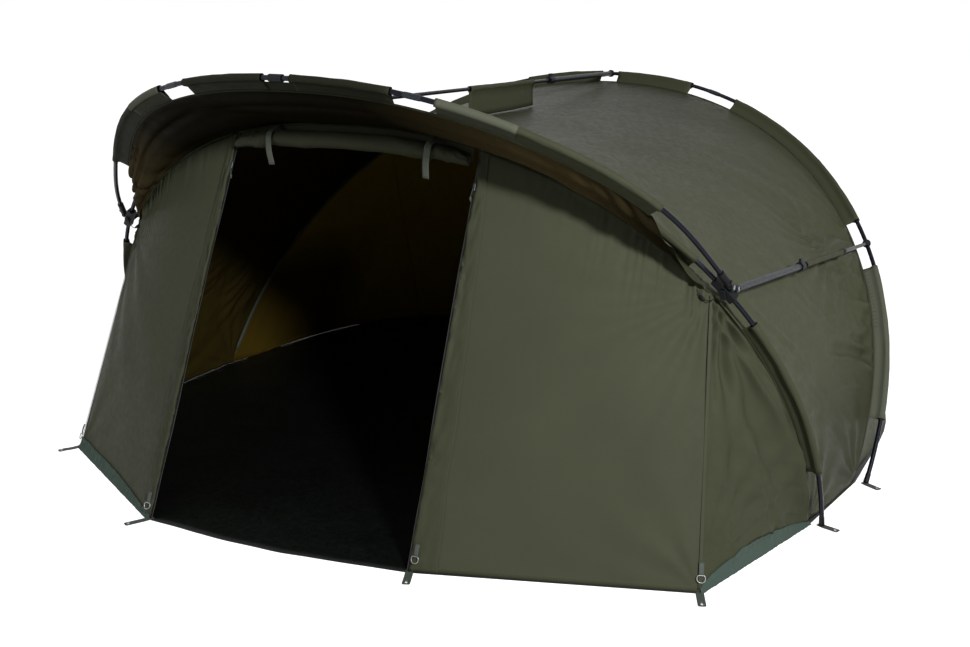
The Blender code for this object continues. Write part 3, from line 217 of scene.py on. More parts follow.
MAIN = Rib(Vector((0, MAIN_FOOT_Y, 0)), MAIN_LEAN, *MAIN_SHAPE)
REAR = Rib(Vector((0, REAR_FOOT_Y, 0)), REAR_LEAN, *REAR_SHAPE)
PEAK_HEIGHT = PEAK_RISE + PEAK_CENTRE_DROP
PEAK_SHARE = (1 - (PEAK_CENTRE_DROP / PEAK_HEIGHT) ** PEAK_POWER) ** (1 / PEAK_POWER)
PEAK = Rib(
    Vector((0, PEAK_PIVOT_Y, PEAK_PIVOT_Z)),
    PEAK_LEAN, PEAK_X / PEAK_SHARE, PEAK_HEIGHT, -PEAK_CENTRE_DROP, PEAK_POWER, PEAK_SWAY,
)
MAIN_ANGLES = rib_angles(MAIN, foot_reach(MAIN_LEAN), HUB_REACH)
REAR_ANGLES = rib_angles(REAR, foot_reach(REAR_LEAN), REAR_TEE_REACH)
PEAK_ANGLES = spread(PEAK.angle_at_reach(PEAK_SLEEVE_START), math.pi / 2, UPPER)
MAIN_FRAMES = MAIN.frames(MAIN_ANGLES)
ARC_FRAMES = MAIN_FRAMES[LOWER:-LOWER]
REAR_FRAMES = REAR.frames(REAR_ANGLES)
PEAK_FRAMES = PEAK.frames(PEAK_ANGLES)


def seam(frames, depth):
    """The line that a rib's cloth is sewn to, below the pole."""
    return [one.centre - one.out * depth for one in frames]


MAIN_SEAM = seam(MAIN_FRAMES, SLEEVE_DEPTH)
REAR_SEAM = seam(REAR_FRAMES, SLEEVE_DEPTH)
PEAK_SEAM = seam(PEAK_FRAMES, PEAK_SLEEVE_DEPTH)


def side_line(side, points):
    return points if side > 0 else points[::-1]


def side_name(base, side):
    return f"{base}_{'right' if side > 0 else 'left'}"


def door_foot(side):
    skew = DOOR_SKEW * Vector((1, side, 1))
    return Vector((side * DOOR_HALF_WIDTH, DOOR_FOOT_Y, HEM_LIFT)) + skew


def corner_foot(side):
    skew = CORNER_SKEW * Vector((1, side, 1))
    return Vector((side * CORNER_HALF_WIDTH, CORNER_FOOT_Y, HEM_LIFT)) + skew


def along(points, spot):
    low = min(max(int(math.floor(spot)), 0), len(points) - 2)
    return points[low].lerp(points[low + 1], spot - low)


def station(values, wanted):
    """The fractional place in a list where its values first pass the one that is wanted."""
    for i in range(len(values) - 1):
        low, high = values[i], values[i + 1]
        if (low - wanted) * (high - wanted) <= 0 and low != high:
            return i + (wanted - low) / (high - low)
    return 0.0


def stretch(frames, start, end):
    """Frames from one fractional station to another."""
    inner = [i for i in range(len(frames)) if start + SAME_STATION < i < end - SAME_STATION]
    found = []
    for spot in [start] + inner + [end]:
        low = min(int(math.floor(spot)), len(frames) - 2)
        first, second = frames[low], frames[low + 1]
        part = spot - low
        out = first.out.lerp(second.out, part).normalized()
        found.append(Frame(first.centre.lerp(second.centre, part), out, first.side))
    return found


# Noise for cloth


LATTICE = 128
Folds = namedtuple("Folds", "height first second seed")
Fan = namedtuple("Fan", "height reach count seed")
Field = namedtuple("Field", "points run across u v")


@lru_cache(maxsize=None)
def lattice(seed):
    return np.random.RandomState(seed).uniform(-1, 1, (LATTICE, LATTICE))


def smooth_noise(x, y, seed):
    """Smooth noise between -1 and 1 over two arrays of coordinates."""
    table = lattice(seed)
    x0, y0 = np.floor(x).astype(int), np.floor(y).astype(int)
    fx, fy = x - x0, y - y0
    fx, fy = fx * fx * (3 - 2 * fx), fy * fy * (3 - 2 * fy)
    x0, y0 = x0 % LATTICE, y0 % LATTICE
    x1, y1 = (x0 + 1) % LATTICE, (y0 + 1) % LATTICE
    low = table[x0, y0] * (1 - fx) + table[x1, y0] * fx
    high = table[x0, y1] * (1 - fx) + table[x1, y1] * fx
    return low * (1 - fy) + high * fy


def ridged(x, y, seed):
    """Noise with soft valleys and sharper crests, as creased cloth has."""
    return 1 - 2 * np.abs(smooth_noise(x, y, seed)) ** 0.7


def falloff(distance, reach):
    return np.exp(-np.maximum(distance, 0) / reach)


def soft(folds, x, y):
    """Rounded waves: a height, the waves per metre along x and y, and a seed."""
    return folds.height * smooth_noise(x * folds.first, y * folds.second, folds.seed)


def creased(folds, x, y):
    """The same with sharp crests."""
    return folds.height * ridged(x * folds.first, y * folds.second, folds.seed)


def soft_at(x, y, seed):
    return float(smooth_noise(np.array(x), np.array(y), seed))


def crest_at(x, y, seed):
    return float(ridged(np.array(x), np.array(y), seed))


def radiate(points, anchor, way, fan):
    """Folds that fan out from an anchor, strongest a little way off it."""
    away = points - np.array(anchor)
    distance = np.linalg.norm(away, axis=2)
    angle = np.arctan2(away[..., 2], away @ np.array(way))
    wander = smooth_noise(distance * 4 + fan.seed, angle * 2, fan.seed) * 1.4
    share = distance / fan.reach
    return fan.height * share * np.exp(1 - share * 1.6) * np.cos(fan.count * angle + wander)


# Meshes


def grid_normals(points):
    """Unit normals at the points of a grid."""
    normals = np.cross(np.gradient(points, axis=0), np.gradient(points, axis=1))
    return normals / np.maximum(np.linalg.norm(normals, axis=2, keepdims=True), 1e-9)


def lengths(points, axis):
    """Running length along one axis of a grid."""
    steps = np.linalg.norm(np.diff(points, axis=axis), axis=2)
    pad = [(0, 0), (0, 0)]
    pad[axis] = (1, 0)
    return np.cumsum(np.pad(steps, pad), axis=axis)


def from_ends(distance, axis):
    """Distance from the nearer end of running lengths along an axis."""
    total = distance[-1:] if axis == 0 else distance[:, -1:]
    return np.minimum(distance, total - distance)


def surface(points):
    """Area of a grid of points."""
    a = points[1:, 1:] - points[:-1, :-1]
    b = points[1:, :-1] - points[:-1, 1:]
    return float(np.linalg.norm(np.cross(a, b), axis=2).sum() / 2)


def store(mesh, name, values):
    attribute = mesh.attributes.new(name, "FLOAT", "POINT")
    attribute.data.foreach_set("value", np.asarray(values, np.float32).ravel())


def finer(points, times):
    """The same surface with more rows, along smooth curves through the ones it has."""
    count = len(points) - 1
    spots = np.linspace(0, count, count * times + 1)
    low = np.minimum(spots.astype(int), count - 1)
    t = (spots - low)[:, None, None]
    padded = np.concatenate([2 * points[:1] - points[1:2], points, 2 * points[-1:] - points[-2:-1]])
    a, b, c, d = (padded[low + k] for k in range(4))
    return b + t / 2 * (c - a + t * (2 * a - 5 * b + 4 * c - d + t * (3 * (b - c) + d - a)))


def shown(name, data):
    obj = bpy.data.objects.new(name, data)
    bpy.context.scene.collection.objects.link(obj)
    return obj


def as_grid(rows):
    return np.array([[tuple(point) for point in row] for row in rows])


def grid_object(name, points, flip=False):
    """A mesh through a grid of points, with its running lengths kept for the stitching."""
    rows, columns = points.shape[:2]
    faces = []
    for i in range(rows - 1):
        for j in range(columns - 1):
            first = i * columns + j
            face = (first, first + columns, first + columns + 1, first + 1)
            faces.append(face[::-1] if flip else face)
    mesh = bpy.data.meshes.new(name)
    mesh.from_pydata(points.reshape(-1, 3).tolist(), [], faces)
    mesh.shade_smooth()
    store(mesh, "run", lengths(points, 0))
    store(mesh, "across", lengths(points, 1))
    return shown(name, mesh)


def thicken(obj, thick, offset=0.0, inner=False):
    solid = obj.modifiers.new("cloth", "SOLIDIFY")
    solid.thickness = thick
    solid.offset = offset
    solid.use_even_offset = False
    if inner:
        solid.material_offset = 1
    return obj


def place(obj, slot, body, node_name=None):
    """Hides the solid that a piece stands for and attaches it to the body that it rides on; the slot is not
    used.
    """
    if node_name:
        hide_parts(node_name)
    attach(obj, body)
    return obj


def thin_piece(name, points, seam, look, thick, slot, body, node_name=None):
    """A piece of cloth or tape through a grid of points, thickened evenly to both sides."""
    obj = grid_object(name, points)
    if seam is not None:
        store(obj.data, "seam", seam)
    obj.data.materials.append(looks[look])
    return place(thicken(obj, thick), slot, body, node_name)


def mesh_from(name, bm, look, smooth=True):
    """Turns a bmesh into a finished piece."""
    bmesh.ops.recalc_face_normals(bm, faces=bm.faces)
    mesh = bpy.data.meshes.new(name)
    bm.to_mesh(mesh)
    bm.free()
    if smooth:
        mesh.shade_smooth()
        mesh.set_sharp_from_angle(angle=SHARP_ANGLE)
    mesh.materials.append(looks[look])
    return shown(name, mesh)


def join_rings(bm, ring, following):
    count = len(ring)
    for j in range(count):
        k = (j + 1) % count
        bm.faces.new((ring[j], ring[k], following[k], following[j]))


def circle(centre, first, second, size, sides):
    turns = (2 * math.pi * j / sides for j in range(sides))
    return [centre + (first * math.cos(t) + second * math.sin(t)) * size for t in turns]


def tube(name, points, radius, look, sides):
    """A closed round piece along a line of points, its rings turned as little as possible."""
    bm = bmesh.new()
    points = [Vector(point) for point in points]
    rings = []
    normal = None
    for i, point in enumerate(points):
        way = (points[min(i + 1, len(points) - 1)] - points[max(i - 1, 0)]).normalized()
        if normal is None:
            normal = way.orthogonal().normalized()
        normal = (normal - way * normal.dot(way)).normalized()
        size = radius(i / (len(points) - 1)) if callable(radius) else radius
        rings.append([bm.verts.new(one) for one in circle(point, normal, way.cross(normal), size, sides)])
    for ring, following in zip(rings, rings[1:]):
        join_rings(bm, ring, following)
    bm.faces.new(rings[0])
    bm.faces.new(rings[-1])
    return mesh_from(name, bm, look)


def round_piece(name, points, radius, look, sides, slot, body, node_name=None):
    return place(tube(name, points, radius, look, sides), slot, body, node_name)


def ribbon(name, points, sides, width, thick, look, slot, body, seam=None):
    """A flat strap along points; sides gives its width direction at each."""
    rows = [[point + side * width * share for share in spread(-1 / 2, 1 / 2, RIBBON_COLUMNS - 1)]
            for point, side in zip(points, sides)]
    return thin_piece(name, np.array(rows), seam, look, thick, slot, body)


# Materials


def is_socket(value):
    return isinstance(value, bpy.types.NodeSocket)


def nodes_of(name, colour, roughness, metallic=0.0, specular=0.5):
    """A new Principled material, with its tree and its shader."""
    made = bpy.data.materials.new(name)
    made.use_nodes = True
    tree = made.node_tree
    shader = tree.nodes["Principled BSDF"]
    shader.inputs["Base Color"].default_value = (*colour, 1)
    shader.inputs["Roughness"].default_value = roughness
    shader.inputs["Metallic"].default_value = metallic
    shader.inputs["Specular IOR Level"].default_value = specular
    return made, tree, shader


def node(tree, kind, inputs=None, **settings):
    made = tree.nodes.new(kind)
    for key, value in settings.items():
        setattr(made, key, value)
    for key, value in (inputs or {}).items():
        if is_socket(value):
            tree.links.new(value, made.inputs[key])
        else:
            made.inputs[key].default_value = value
    return made


def maths(tree, operation, first, second=0.0):
    return node(tree, "ShaderNodeMath", {0: first, 1: second}, operation=operation).outputs[0]


def ranged(tree, value, low, high, to_low, to_high):
    inputs = {"Value": value, "From Min": low, "From Max": high, "To Min": to_low, "To Max": to_high}
    return node(tree, "ShaderNodeMapRange", inputs).outputs[0]


def mixed(tree, first, factor, other):
    """One colour going over to another by a factor."""
    mix = node(tree, "ShaderNodeMix", data_type="RGBA")
    tree.links.new(factor, mix.inputs[0])
    for socket, colour in ((mix.inputs[6], first), (mix.inputs[7], other)):
        if is_socket(colour):
            tree.links.new(colour, socket)
        else:
            socket.default_value = (*colour, 1)
    return mix.outputs[2]


def coordinates(tree):
    return node(tree, "ShaderNodeTexCoord").outputs["Object"]


def attribute(tree, name):
    return node(tree, "ShaderNodeAttribute", attribute_name=name).outputs["Fac"]


def noise(tree, place, scale, detail, distortion=0.0):
    inputs = {"Vector": place, "Scale": scale, "Detail": detail, "Distortion": distortion}
    return node(tree, "ShaderNodeTexNoise", inputs).outputs["Fac"]


def waves(tree, place, pitch, direction, distortion=0.0):
    inputs = {"Vector": place, "Scale": WAVE_PERIOD / pitch, "Distortion": distortion}
    return node(tree, "ShaderNodeTexWave", inputs, bands_direction=direction).outputs["Fac"]


def bump(tree, strength, distance, height, under=None):
    inputs = {"Strength": strength, "Distance": distance, "Height": height}
    if under is not None:
        inputs["Normal"] = under
    return node(tree, "ShaderNodeBump", inputs).outputs[0]


def wire(tree, shader, **sockets):
    for key, value in sockets.items():
        tree.links.new(value, shader.inputs[key.replace("_", " ")])


def scaled(colour, share):
    return tuple(min(value * share, 1) for value in colour)


def weave_height(tree, pitch):
    """Height of a plain weave from the cloth's own running lengths."""
    inputs = {0: attribute(tree, "run"), 1: attribute(tree, "across")}
    place = node(tree, "ShaderNodeCombineXYZ", inputs).outputs[0]
    return maths(tree, "MULTIPLY", waves(tree, place, pitch, "X"), waves(tree, place, pitch, "Y"))


def stitch_mask(tree, rows):
    """One where a row of stitches runs at the given distances from a sewn edge."""
    edge = attribute(tree, "seam")
    step = maths(tree, "FRACT", maths(tree, "DIVIDE", attribute(tree, "run"), STITCH_LENGTH))
    total = None
    for row in rows:
        off = maths(tree, "ABSOLUTE", maths(tree, "SUBTRACT", edge, row))
        line = maths(tree, "LESS_THAN", off, STITCH_WIDTH / 2)
        total = line if total is None else maths(tree, "MAXIMUM", total, line)
    return maths(tree, "MULTIPLY", total, maths(tree, "LESS_THAN", step, STITCH_SHARE))


def fabric(name, colour, roughness=0.5, stitches=STITCH_ROWS, mottle=0.07, weave=WEAVE_PITCH,
           specular=0.03, lit=()):
    """Coated woven cloth: mottled, faintly creased, with its weave and rows of stitches, and painted light
    and shade blended in by position where lit gives it.
    """
    made, tree, shader = nodes_of(name, colour, roughness, specular=specular)
    place = coordinates(tree)
    fine = noise(tree, place, 46.0, 4.0)
    patch = ranged(tree, noise(tree, place, 2.6, 5.0), 0.3, 0.7, 0.0, 1.0)
    base = mixed(tree, scaled(colour, 1 - mottle), patch, scaled(colour, 1 + mottle))
    # Painted light and shade: the colour blended by position along an axis
    for axis, other, (first, last) in lit:
        far = node(tree, "ShaderNodeSeparateXYZ", {"Vector": place}).outputs[axis]
        base = mixed(tree, base, ranged(tree, far, first, last, 0.0, 1.0), other)
    base = mixed(tree, base, ranged(tree, fine, 0.35, 0.75, 0.0, 0.14), scaled(colour, 0.8))
    crease = bump(tree, 0.06, 0.006, noise(tree, place, 7.0, 4.0, 0.8))
    normal = bump(tree, 0.3, 0.0003, weave_height(tree, weave), crease)
    if stitches:
        mask = stitch_mask(tree, stitches)
        base = mixed(tree, base, maths(tree, "MULTIPLY", mask, 0.6), scaled(colour, 1.7))
        normal = bump(tree, 0.6, 0.0008, mask, normal)
    rough = ranged(tree, fine, 0.3, 0.7, roughness - 0.06, roughness + 0.08)
    wire(tree, shader, Base_Color=base, Roughness=rough, Normal=normal)
    return made


def webbing(name, colour, pitch=0.0024):
    """Woven strap with ribs across it and darker worn specks."""
    made, tree, shader = nodes_of(name, colour, 0.75)
    place = coordinates(tree)
    ribs = waves(tree, place, pitch, "DIAGONAL", 0.6)
    base = mixed(tree, scaled(colour, 0.7), ribs, scaled(colour, 1.25))
    worn = ranged(tree, noise(tree, place, 220.0, 3.0), 0.4, 0.7, 0.0, 0.5)
    base = mixed(tree, base, worn, scaled(colour, 0.6))
    wire(tree, shader, Base_Color=base, Normal=bump(tree, 0.5, 0.0006, ribs))
    return made


def metal(name, colour, roughness, metallic=0.85):
    """Anodised or plated metal with drawn marks and worn patches."""
    made, tree, shader = nodes_of(name, colour, roughness, metallic, 0.3)
    place = coordinates(tree)
    marks = noise(tree, place, 120.0, 5.0, 0.4)
    worn = ranged(tree, noise(tree, place, 9.0, 4.0), 0.5, 0.75, 0.0, 0.25)
    base = mixed(tree, colour, worn, scaled(colour, 1.8))
    rough = ranged(tree, marks, 0.3, 0.7, roughness - 0.08, roughness + 0.12)
    wire(tree, shader, Base_Color=base, Roughness=rough, Normal=bump(tree, 0.08, 0.0004, marks))
    return made


def plastic(name, colour, roughness=0.42):
    """Moulded nylon with a fine spark-eroded grain and rubbed high spots."""
    made, tree, shader = nodes_of(name, colour, roughness, specular=0.12)
    place = coordinates(tree)
    rubbed = noise(tree, place, 40.0, 4.0)
    base = mixed(tree, colour, ranged(tree, rubbed, 0.5, 0.8, 0.0, 0.6), scaled(colour, 2.2))
    rough = ranged(tree, rubbed, 0.3, 0.7, roughness - 0.05, roughness + 0.15)
    normal = bump(tree, 0.25, 0.0003, noise(tree, place, 900.0, 2.0))
    wire(tree, shader, Base_Color=base, Roughness=rough, Normal=normal)
    return made


OLIVE = (0.0505, 0.0540, 0.0335)
ROOF = (0.0440, 0.0470, 0.0310)
# Painted light on the roof's right side, and painted shade low on the sides
ROOF_LIT_SIDE = (0.0600, 0.0640, 0.0380)
ROOF_SHADED_LOW = (0.0400, 0.0430, 0.0260)
WING = (0.0470, 0.0510, 0.0300)
FLAP = (0.0430, 0.0460, 0.0285)
OLIVE_DARK = (0.034, 0.037, 0.020)
OLIVE_PALE = (0.088, 0.095, 0.068)
# The peak's underside: a painted-shade copy, a painted-light copy right of the middle and a painted-light
# copy on the left
UNDERSIDE_SHADED = (0.0042, 0.0036, 0.0014)
UNDERSIDE_LIT = (0.048, 0.036, 0.0150)
UNDERSIDE_LEFT_LIT = (0.050, 0.038, 0.018)
# Inner faces: the coating's brown, darkened with painted shade inside the tent
INSIDE_COATING_SHADED = (0.024, 0.0175, 0.0040)
# Painted light shining through the back wall, seen from inside: brighter high up and towards the back
INSIDE_BACK_LIT_THROUGH = (0.047, 0.031, 0.004)
INSIDE_BACK_BRIGHT_LIT_THROUGH = (0.27, 0.180, 0.020)
SLEEVE_SHADE = (0.016, 0.0165, 0.010)
TEAL = (0.052, 0.076, 0.063)
BLACK_SHEET = (0.0022, 0.0030, 0.0024)
STRAP_GREY = (0.045, 0.056, 0.046)
POLE_BLACK = (0.010, 0.0115, 0.016)
BAR_BLUE = (0.019, 0.023, 0.028)
NYLON = (0.0045, 0.005, 0.0058)
PLATED = (0.22, 0.225, 0.225)
PALE_TIE = (0.044, 0.051, 0.035)
TAPE_BLACK = (0.010, 0.011, 0.009)

# Painted light and shade on a cloth where the light falls differently: an axis, the painted colour there, and
# from where to where
ROOF_LIT = (("X", ROOF_LIT_SIDE, (0.35, 1.1)), ("Z", ROOF_SHADED_LOW, (0.52, 0.2)))
BACK_LIT = (("Z", INSIDE_BACK_BRIGHT_LIT_THROUGH, (0.35, 0.6)), ("Y", INSIDE_BACK_BRIGHT_LIT_THROUGH, (0.75, 0.95)))
PEAK_LIT = (
    ("X", UNDERSIDE_LIT, (0.25, 0.7)), ("X", UNDERSIDE_SHADED, (0.85, 1.1)), ("X", UNDERSIDE_LEFT_LIT, (-0.7, -1.0)),
)
SLEEVE_LIT = (("X", OLIVE, (0.35, 0.6)),)

looks = {
    "canopy": fabric("canopy_cloth", ROOF, 0.40, lit=ROOF_LIT),
    "front": fabric("front_cloth", OLIVE),
    "inside": fabric("inside_coating_and_shade", INSIDE_COATING_SHADED, 0.7, (), specular=0.02),
    "inside_back": fabric("inside_back_lit_through", INSIDE_BACK_LIT_THROUGH, 0.7, (), specular=0.02, lit=BACK_LIT),
    "peak": fabric("peak_cloth", OLIVE_DARK),
    "peak_under": fabric("peak_underside", UNDERSIDE_SHADED, 0.55, specular=0.02, lit=PEAK_LIT),
    "peak_sleeve": fabric("peak_sleeve_cloth", SLEEVE_SHADE, 0.5, (), lit=SLEEVE_LIT),
    "sleeve": fabric("sleeve_cloth", WING, 0.5, ()),
    "flap": fabric("door_flap_cloth", FLAP, 0.52),
    "wing": fabric("wing_cloth", WING),
    "patch": fabric("patch_cloth", OLIVE_PALE),
    "mud": fabric("mud_strip_cloth", TEAL, 0.42),
    "floor": fabric("groundsheet_cloth", BLACK_SHEET, 0.42, weave=0.0018, mottle=0.3, specular=0.2),
    "web": webbing("strap_webbing", STRAP_GREY),
    "tape": webbing("zip_tape", TAPE_BLACK, 0.0012),
    "tie": webbing("tie_webbing", PALE_TIE, 0.0016),
    "pole": metal("pole_anodised", POLE_BLACK, 0.3),
    "bar": metal("bar_anodised", BAR_BLUE, 0.42, 0.6),
    "nylon": plastic("fitting_nylon", NYLON),
    "steel": metal("plated_steel", PLATED, 0.38, 1.0),
}


# Cloth panels


# A sheet's area is declared as no more than this share of its flat rectangle
AREA_SHARE = 0.999
surfaces = {}
sheets = []


def of_side(side, *bases):
    return [side_name(base, side) for base in bases]


def both(*bases):
    return [name for base in bases for name in (side_name(base, 1), side_name(base, -1))]


# Which small pieces are sewn to each sheet
SEWN = {
    "canopy": ["main_arc_sleeve", "main_welt", "top_bar_cover", *both("bar_cover")],
    "back_wall": ["rear_rib_sleeve", "rear_welt", "back_strip", *both(
        "rear_leg_sleeve", "rear_ticks", "back_seam", "back_seam_inner", "rear_seam_binding",
    )],
    "peak": ["peak_rib_sleeve", "peak_welt", "peak_gusset", *both("sleeve_patch")],
    "door_roll": ["roll_tie_1", "roll_tie_2"],
}
for hand in SIDES:
    SEWN[side_name("wing", hand)] = of_side(hand, "leg_rib_sleeve", "wing_strip")
    SEWN[side_name("front", hand)] = of_side(
        hand, "door_flap", "zip_tape", "zip_coil", "corner_seam", "door_tab", "corner_tab",
    )
SEWN["front_left"].append("front_strip_left")


def cloth(name, points, both_looks, ripple, pinned, inside_point=(0, 0, 0.4),
          times=1):
    """A sheet through a grid, rippled along its normals and held within reach of its pinned edges."""
    points = finer(np.array(points, float), times)
    facing = (grid_normals(points) * (points - np.array(inside_point))).sum()
    sign = 1 if facing > 0 else -1
    run, across = lengths(points, 0), lengths(points, 1)
    from_edges = [run, run[-1:] - run, across, across[:, -1:] - across]
    hold = np.ones(run.shape)
    nearest = np.full(run.shape, FAR_OFF)
    for distance, reach in zip(from_edges, pinned):
        if reach:
            hold = hold * np.clip(distance / reach, 0, 1)
            nearest = np.minimum(nearest, distance)
    flat_size = (float(run[-1].max()), float(across[:, -1].max()), surface(points))
    grounded = points[..., 2] < HEM_LIFT + GROUND_REACH
    u = run / np.maximum(run[-1:], 1e-6)
    v = across / np.maximum(across[:, -1:], 1e-6)
    push = sign * ripple(Field(points, run, across, u, v)) * hold
    points = points + grid_normals(points) * push[..., None]
    points[..., 2] = np.where(grounded, HEM_LIFT, np.maximum(points[..., 2], HEM_LIFT))
    obj = grid_object(name, points, sign < 0)
    store(obj.data, "seam", nearest)
    for look in both_looks:
        obj.data.materials.append(looks[look])
    thicken(obj, CLOTH_THICK, -1.0, True)
    surfaces[name] = points
    return obj, flat_size


def declare(obj, flat_size, held, rests_on):
    """Keeps a sheet's facts until the pieces sewn to it are made."""
    sheets.append((obj, flat_size, held, rests_on))


def declare_sheets():
    for obj, (width, length, area), held, rests_on in sheets:
        round(min(area, AREA_SHARE * width * length), 3)
        [bpy.data.objects[name] for name in SEWN.get(obj.name, ())]
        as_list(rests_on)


def share_out(obj, row, end):
    """Bakes a sheet's transform into its mesh and works out its shares across from the main arc, which
    nothing uses.
    """
    tuple(MAIN_SEAM[TOP])
    tuple(end)
    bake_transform(obj)
    shares = np.tile(row, len(obj.data.vertices) // len(row)).astype(np.float32)


def roof_point(i, share):
    """A point of the canopy at a station of the ribs and a share of the way back."""
    front = Vector(MAIN_SEAM[i])
    back = Vector(REAR_SEAM[i])
    if i in (0, 2 * TOP):
        front.z = back.z = HEM_LIFT
    point = front.lerp(back, share)
    swell = math.sin(math.pi * share)
    if LOWER <= i <= 2 * TOP - LOWER:
        turn = math.pi * (i - LOWER) / (2 * UPPER)
        inward = Vector((-math.cos(turn), 0, -math.sin(turn)))
        return point + inward * ROOF_SAG * math.sqrt(max(math.sin(turn), 0)) * swell
    side = 1 if i < TOP else -1
    low = i if side > 0 else 2 * TOP - i
    sag = SIDE_SAG * math.sin(math.pi * low / LOWER)
    return point - Vector((side, 0, 0)) * sag * swell


def canopy_ripple(field):
    """Broad waves, puckers at both rib seams, pleats low on the sides and folds at the bars."""
    points, run, across = field.points, field.run, field.across
    x, z = points[..., 0], points[..., 2]
    rear = across[:, -1:] - across
    low = np.clip((0.95 - z) / 0.25, 0, 1) * np.clip((z - 0.12) / 0.2, 0, 1)
    belt = np.clip((0.68 - z) / 0.1, 0, 1) * np.clip((z - 0.26) / 0.14, 0, 1)
    total = soft(Folds(0.006, 2.2, 1.6, 3), run, across) + soft(Folds(0.003, 6, 4, 5), run, across)
    total += creased(Folds(0.0040, 19, 2.5, 7), run, across) * falloff(from_ends(across, 1), 0.07)
    total += creased(Folds(0.0007, 1, 1, 9), run * 12 + across * 5, across * 7 - run * 4)
    total += creased(Folds(0.018, 12, 3.0, 11), run, across) * low * falloff(rear, 0.24)
    total += creased(Folds(0.026, 1, 4.5, 12), run * 19 + across * 2, across) * belt * falloff(rear, 0.36)
    total += creased(Folds(0.014, 16, 2.5, 13), run, across) * low * falloff(across, 0.12)
    slanted = creased(Folds(0.010, 13, 1.8, 15), run * 0.6 + across, run - across)
    total += slanted * low * falloff(across, 0.45)
    for side in SIDES:
        main, rear_line = side_line(side, MAIN_FRAMES), side_line(side, REAR_FRAMES)
        hub, tee = main[LOWER].centre, rear_line[LOWER].centre
        near = np.clip(x * side / 0.4, 0, 1)
        for anchor, fan in (
            (hub, Fan(0.006, 0.28, 17, 21)), (tee, Fan(0.008, 0.24, 15, 23)),
            (main[0].centre, Fan(0.006, 0.22, 13, 25)), (rear_line[0].centre, Fan(0.006, 0.22, 13, 26)),
            (side_bar(side)[0].lerp(tee, 0.75), Fan(0.010, 0.16, 19, 29)),
        ):
            total += near * radiate(points, anchor, BACKWARD, fan)
        bar = np.abs(z - (hub.z + (tee.z - hub.z) * field.v) + 0.03)
        ruck = creased(Folds(0.004, 14, 3, 27), across, run)
        total += near * ruck * falloff(bar, 0.05) * (field.v > 0.35)
    return total


def make_canopy():
    """The roof and both sides in one sheet, sewn to the main arc and the rear rib."""
    shares = spread(0, 1, ROOF_COLUMNS)
    grid = [[roof_point(i, s) for s in shares] for i in range(2 * TOP + 1)]
    obj, flat_size = cloth("canopy", grid, ("canopy", "inside"), canopy_ripple, (0, 0, 0.012, 0.06), times=3)
    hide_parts("roof_panel", *both("side_panel"))
    share_out(obj, np.array(shares), REAR_SEAM[TOP])
    declare(obj, flat_size, "stretched", ["main_arc_sleeve", "rear_rib_sleeve"])


def back_hem(share):
    turn = BACK_HEM_START + (math.pi / 2 - BACK_HEM_START) * share
    x = BACK_HEM_HALF_WIDTH * math.cos(turn) ** (2 / BACK_HEM_POWER)
    y = REAR_FOOT_Y + (BACK_HEM_Y - REAR_FOOT_Y) * math.sin(turn) ** (2 / BACK_HEM_POWER)
    return Vector((x, y, HEM_LIFT))


def back_point(i, share):
    low = i if i <= TOP else 2 * TOP - i
    hem = back_hem(low / TOP)
    if i > TOP:
        hem.x = -hem.x
    top = Vector(REAR_SEAM[i])
    if i in (0, 2 * TOP):
        top.z = HEM_LIFT
    inward = Vector((-top.x, -BACK_HEM_Y, 0)).normalized()
    sag = BACK_SAG * (top - hem).length
    return top.lerp(hem, share) + inward * sag * math.sin(math.pi * share)


def back_ripple(field):
    """Long folds that run down the back wall from the rear rib to the hem."""
    run, across = field.run, field.across
    long = creased(Folds(0.008, 0.45, 0.7, 31), field.u * 60, across)
    long += soft(Folds(0.006, 3, 2, 33), run, across)
    pucker = creased(Folds(0.0035, 24, 3, 35), run, across) * falloff(across, 0.06)
    return long * np.clip(across * 3, 0, 1) + pucker + creased(Folds(0.0015, 12, 12, 37), run, across)


def make_back():
    grid = [[back_point(i, s) for s in spread(0, 1, BACK_COLUMNS)] for i in range(2 * TOP + 1)]
    obj, flat_size = cloth("back_wall", grid, ("front", "inside_back"), back_ripple, (0, 0, 0.012, 0.05))
    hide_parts("back_panel_centre", *both("back_panel"))
    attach(obj, "rear_rib")
    declare(obj, flat_size, "hung", ["rear_rib_sleeve"])


def peak_ripple(field):
    """Long soft folds along the peak, and short pleats where it is gathered at its ends."""
    run, across = field.run, field.across
    long = creased(Folds(0.016, 11, 0.9, 41), across, run) * np.sin(np.pi * np.clip(field.v, 0, 1))
    pleats = creased(Folds(0.014, 14, 2, 43), run, across) * falloff(from_ends(run, 0), 0.35)
    return long + pleats + soft(Folds(0.003, 5, 6, 45), run, across)


def make_peak():
    """The peak's cloth, from the main arc out to the peak rib."""
    shares = spread(0, 1, PEAK_COLUMNS)
    drop = Vector((0, 0, CANOPY_SAG))
    grid = [
        [a.lerp(b, s) - drop * math.sin(math.pi * s) for s in shares]
        for a, b in zip(MAIN_SEAM[LOWER:-LOWER], PEAK_SEAM)
    ]
    obj, flat_size = cloth("peak", grid, ("peak", "peak_under"), peak_ripple, (0, 0, 0.012, 0.012))
    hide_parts("peak_canopy")
    moving = np.clip((np.array(shares) - PEAK_STILL) / (1 - PEAK_STILL), 0, 1)
    share_out(obj, moving, PEAK_SEAM[UPPER])
    declare(obj, flat_size, "stretched", ["main_arc_sleeve", "peak_rib_sleeve"])


def front_grid(side):
    top = side_line(side, MAIN_SEAM)[LOWER:DOOR_STATION + 1]
    count = len(top) - 1
    grid = []
    for i, a in enumerate(top):
        b = corner_foot(side).lerp(door_foot(side), i / count)
        forward = Vector((0, -PANEL_BULGE * math.sin(math.pi * i / count), 0))
        grid.append([a.lerp(b, s) + forward * math.sin(math.pi * s) for s in spread(0, 1, FRONT_COLUMNS)])
    return grid


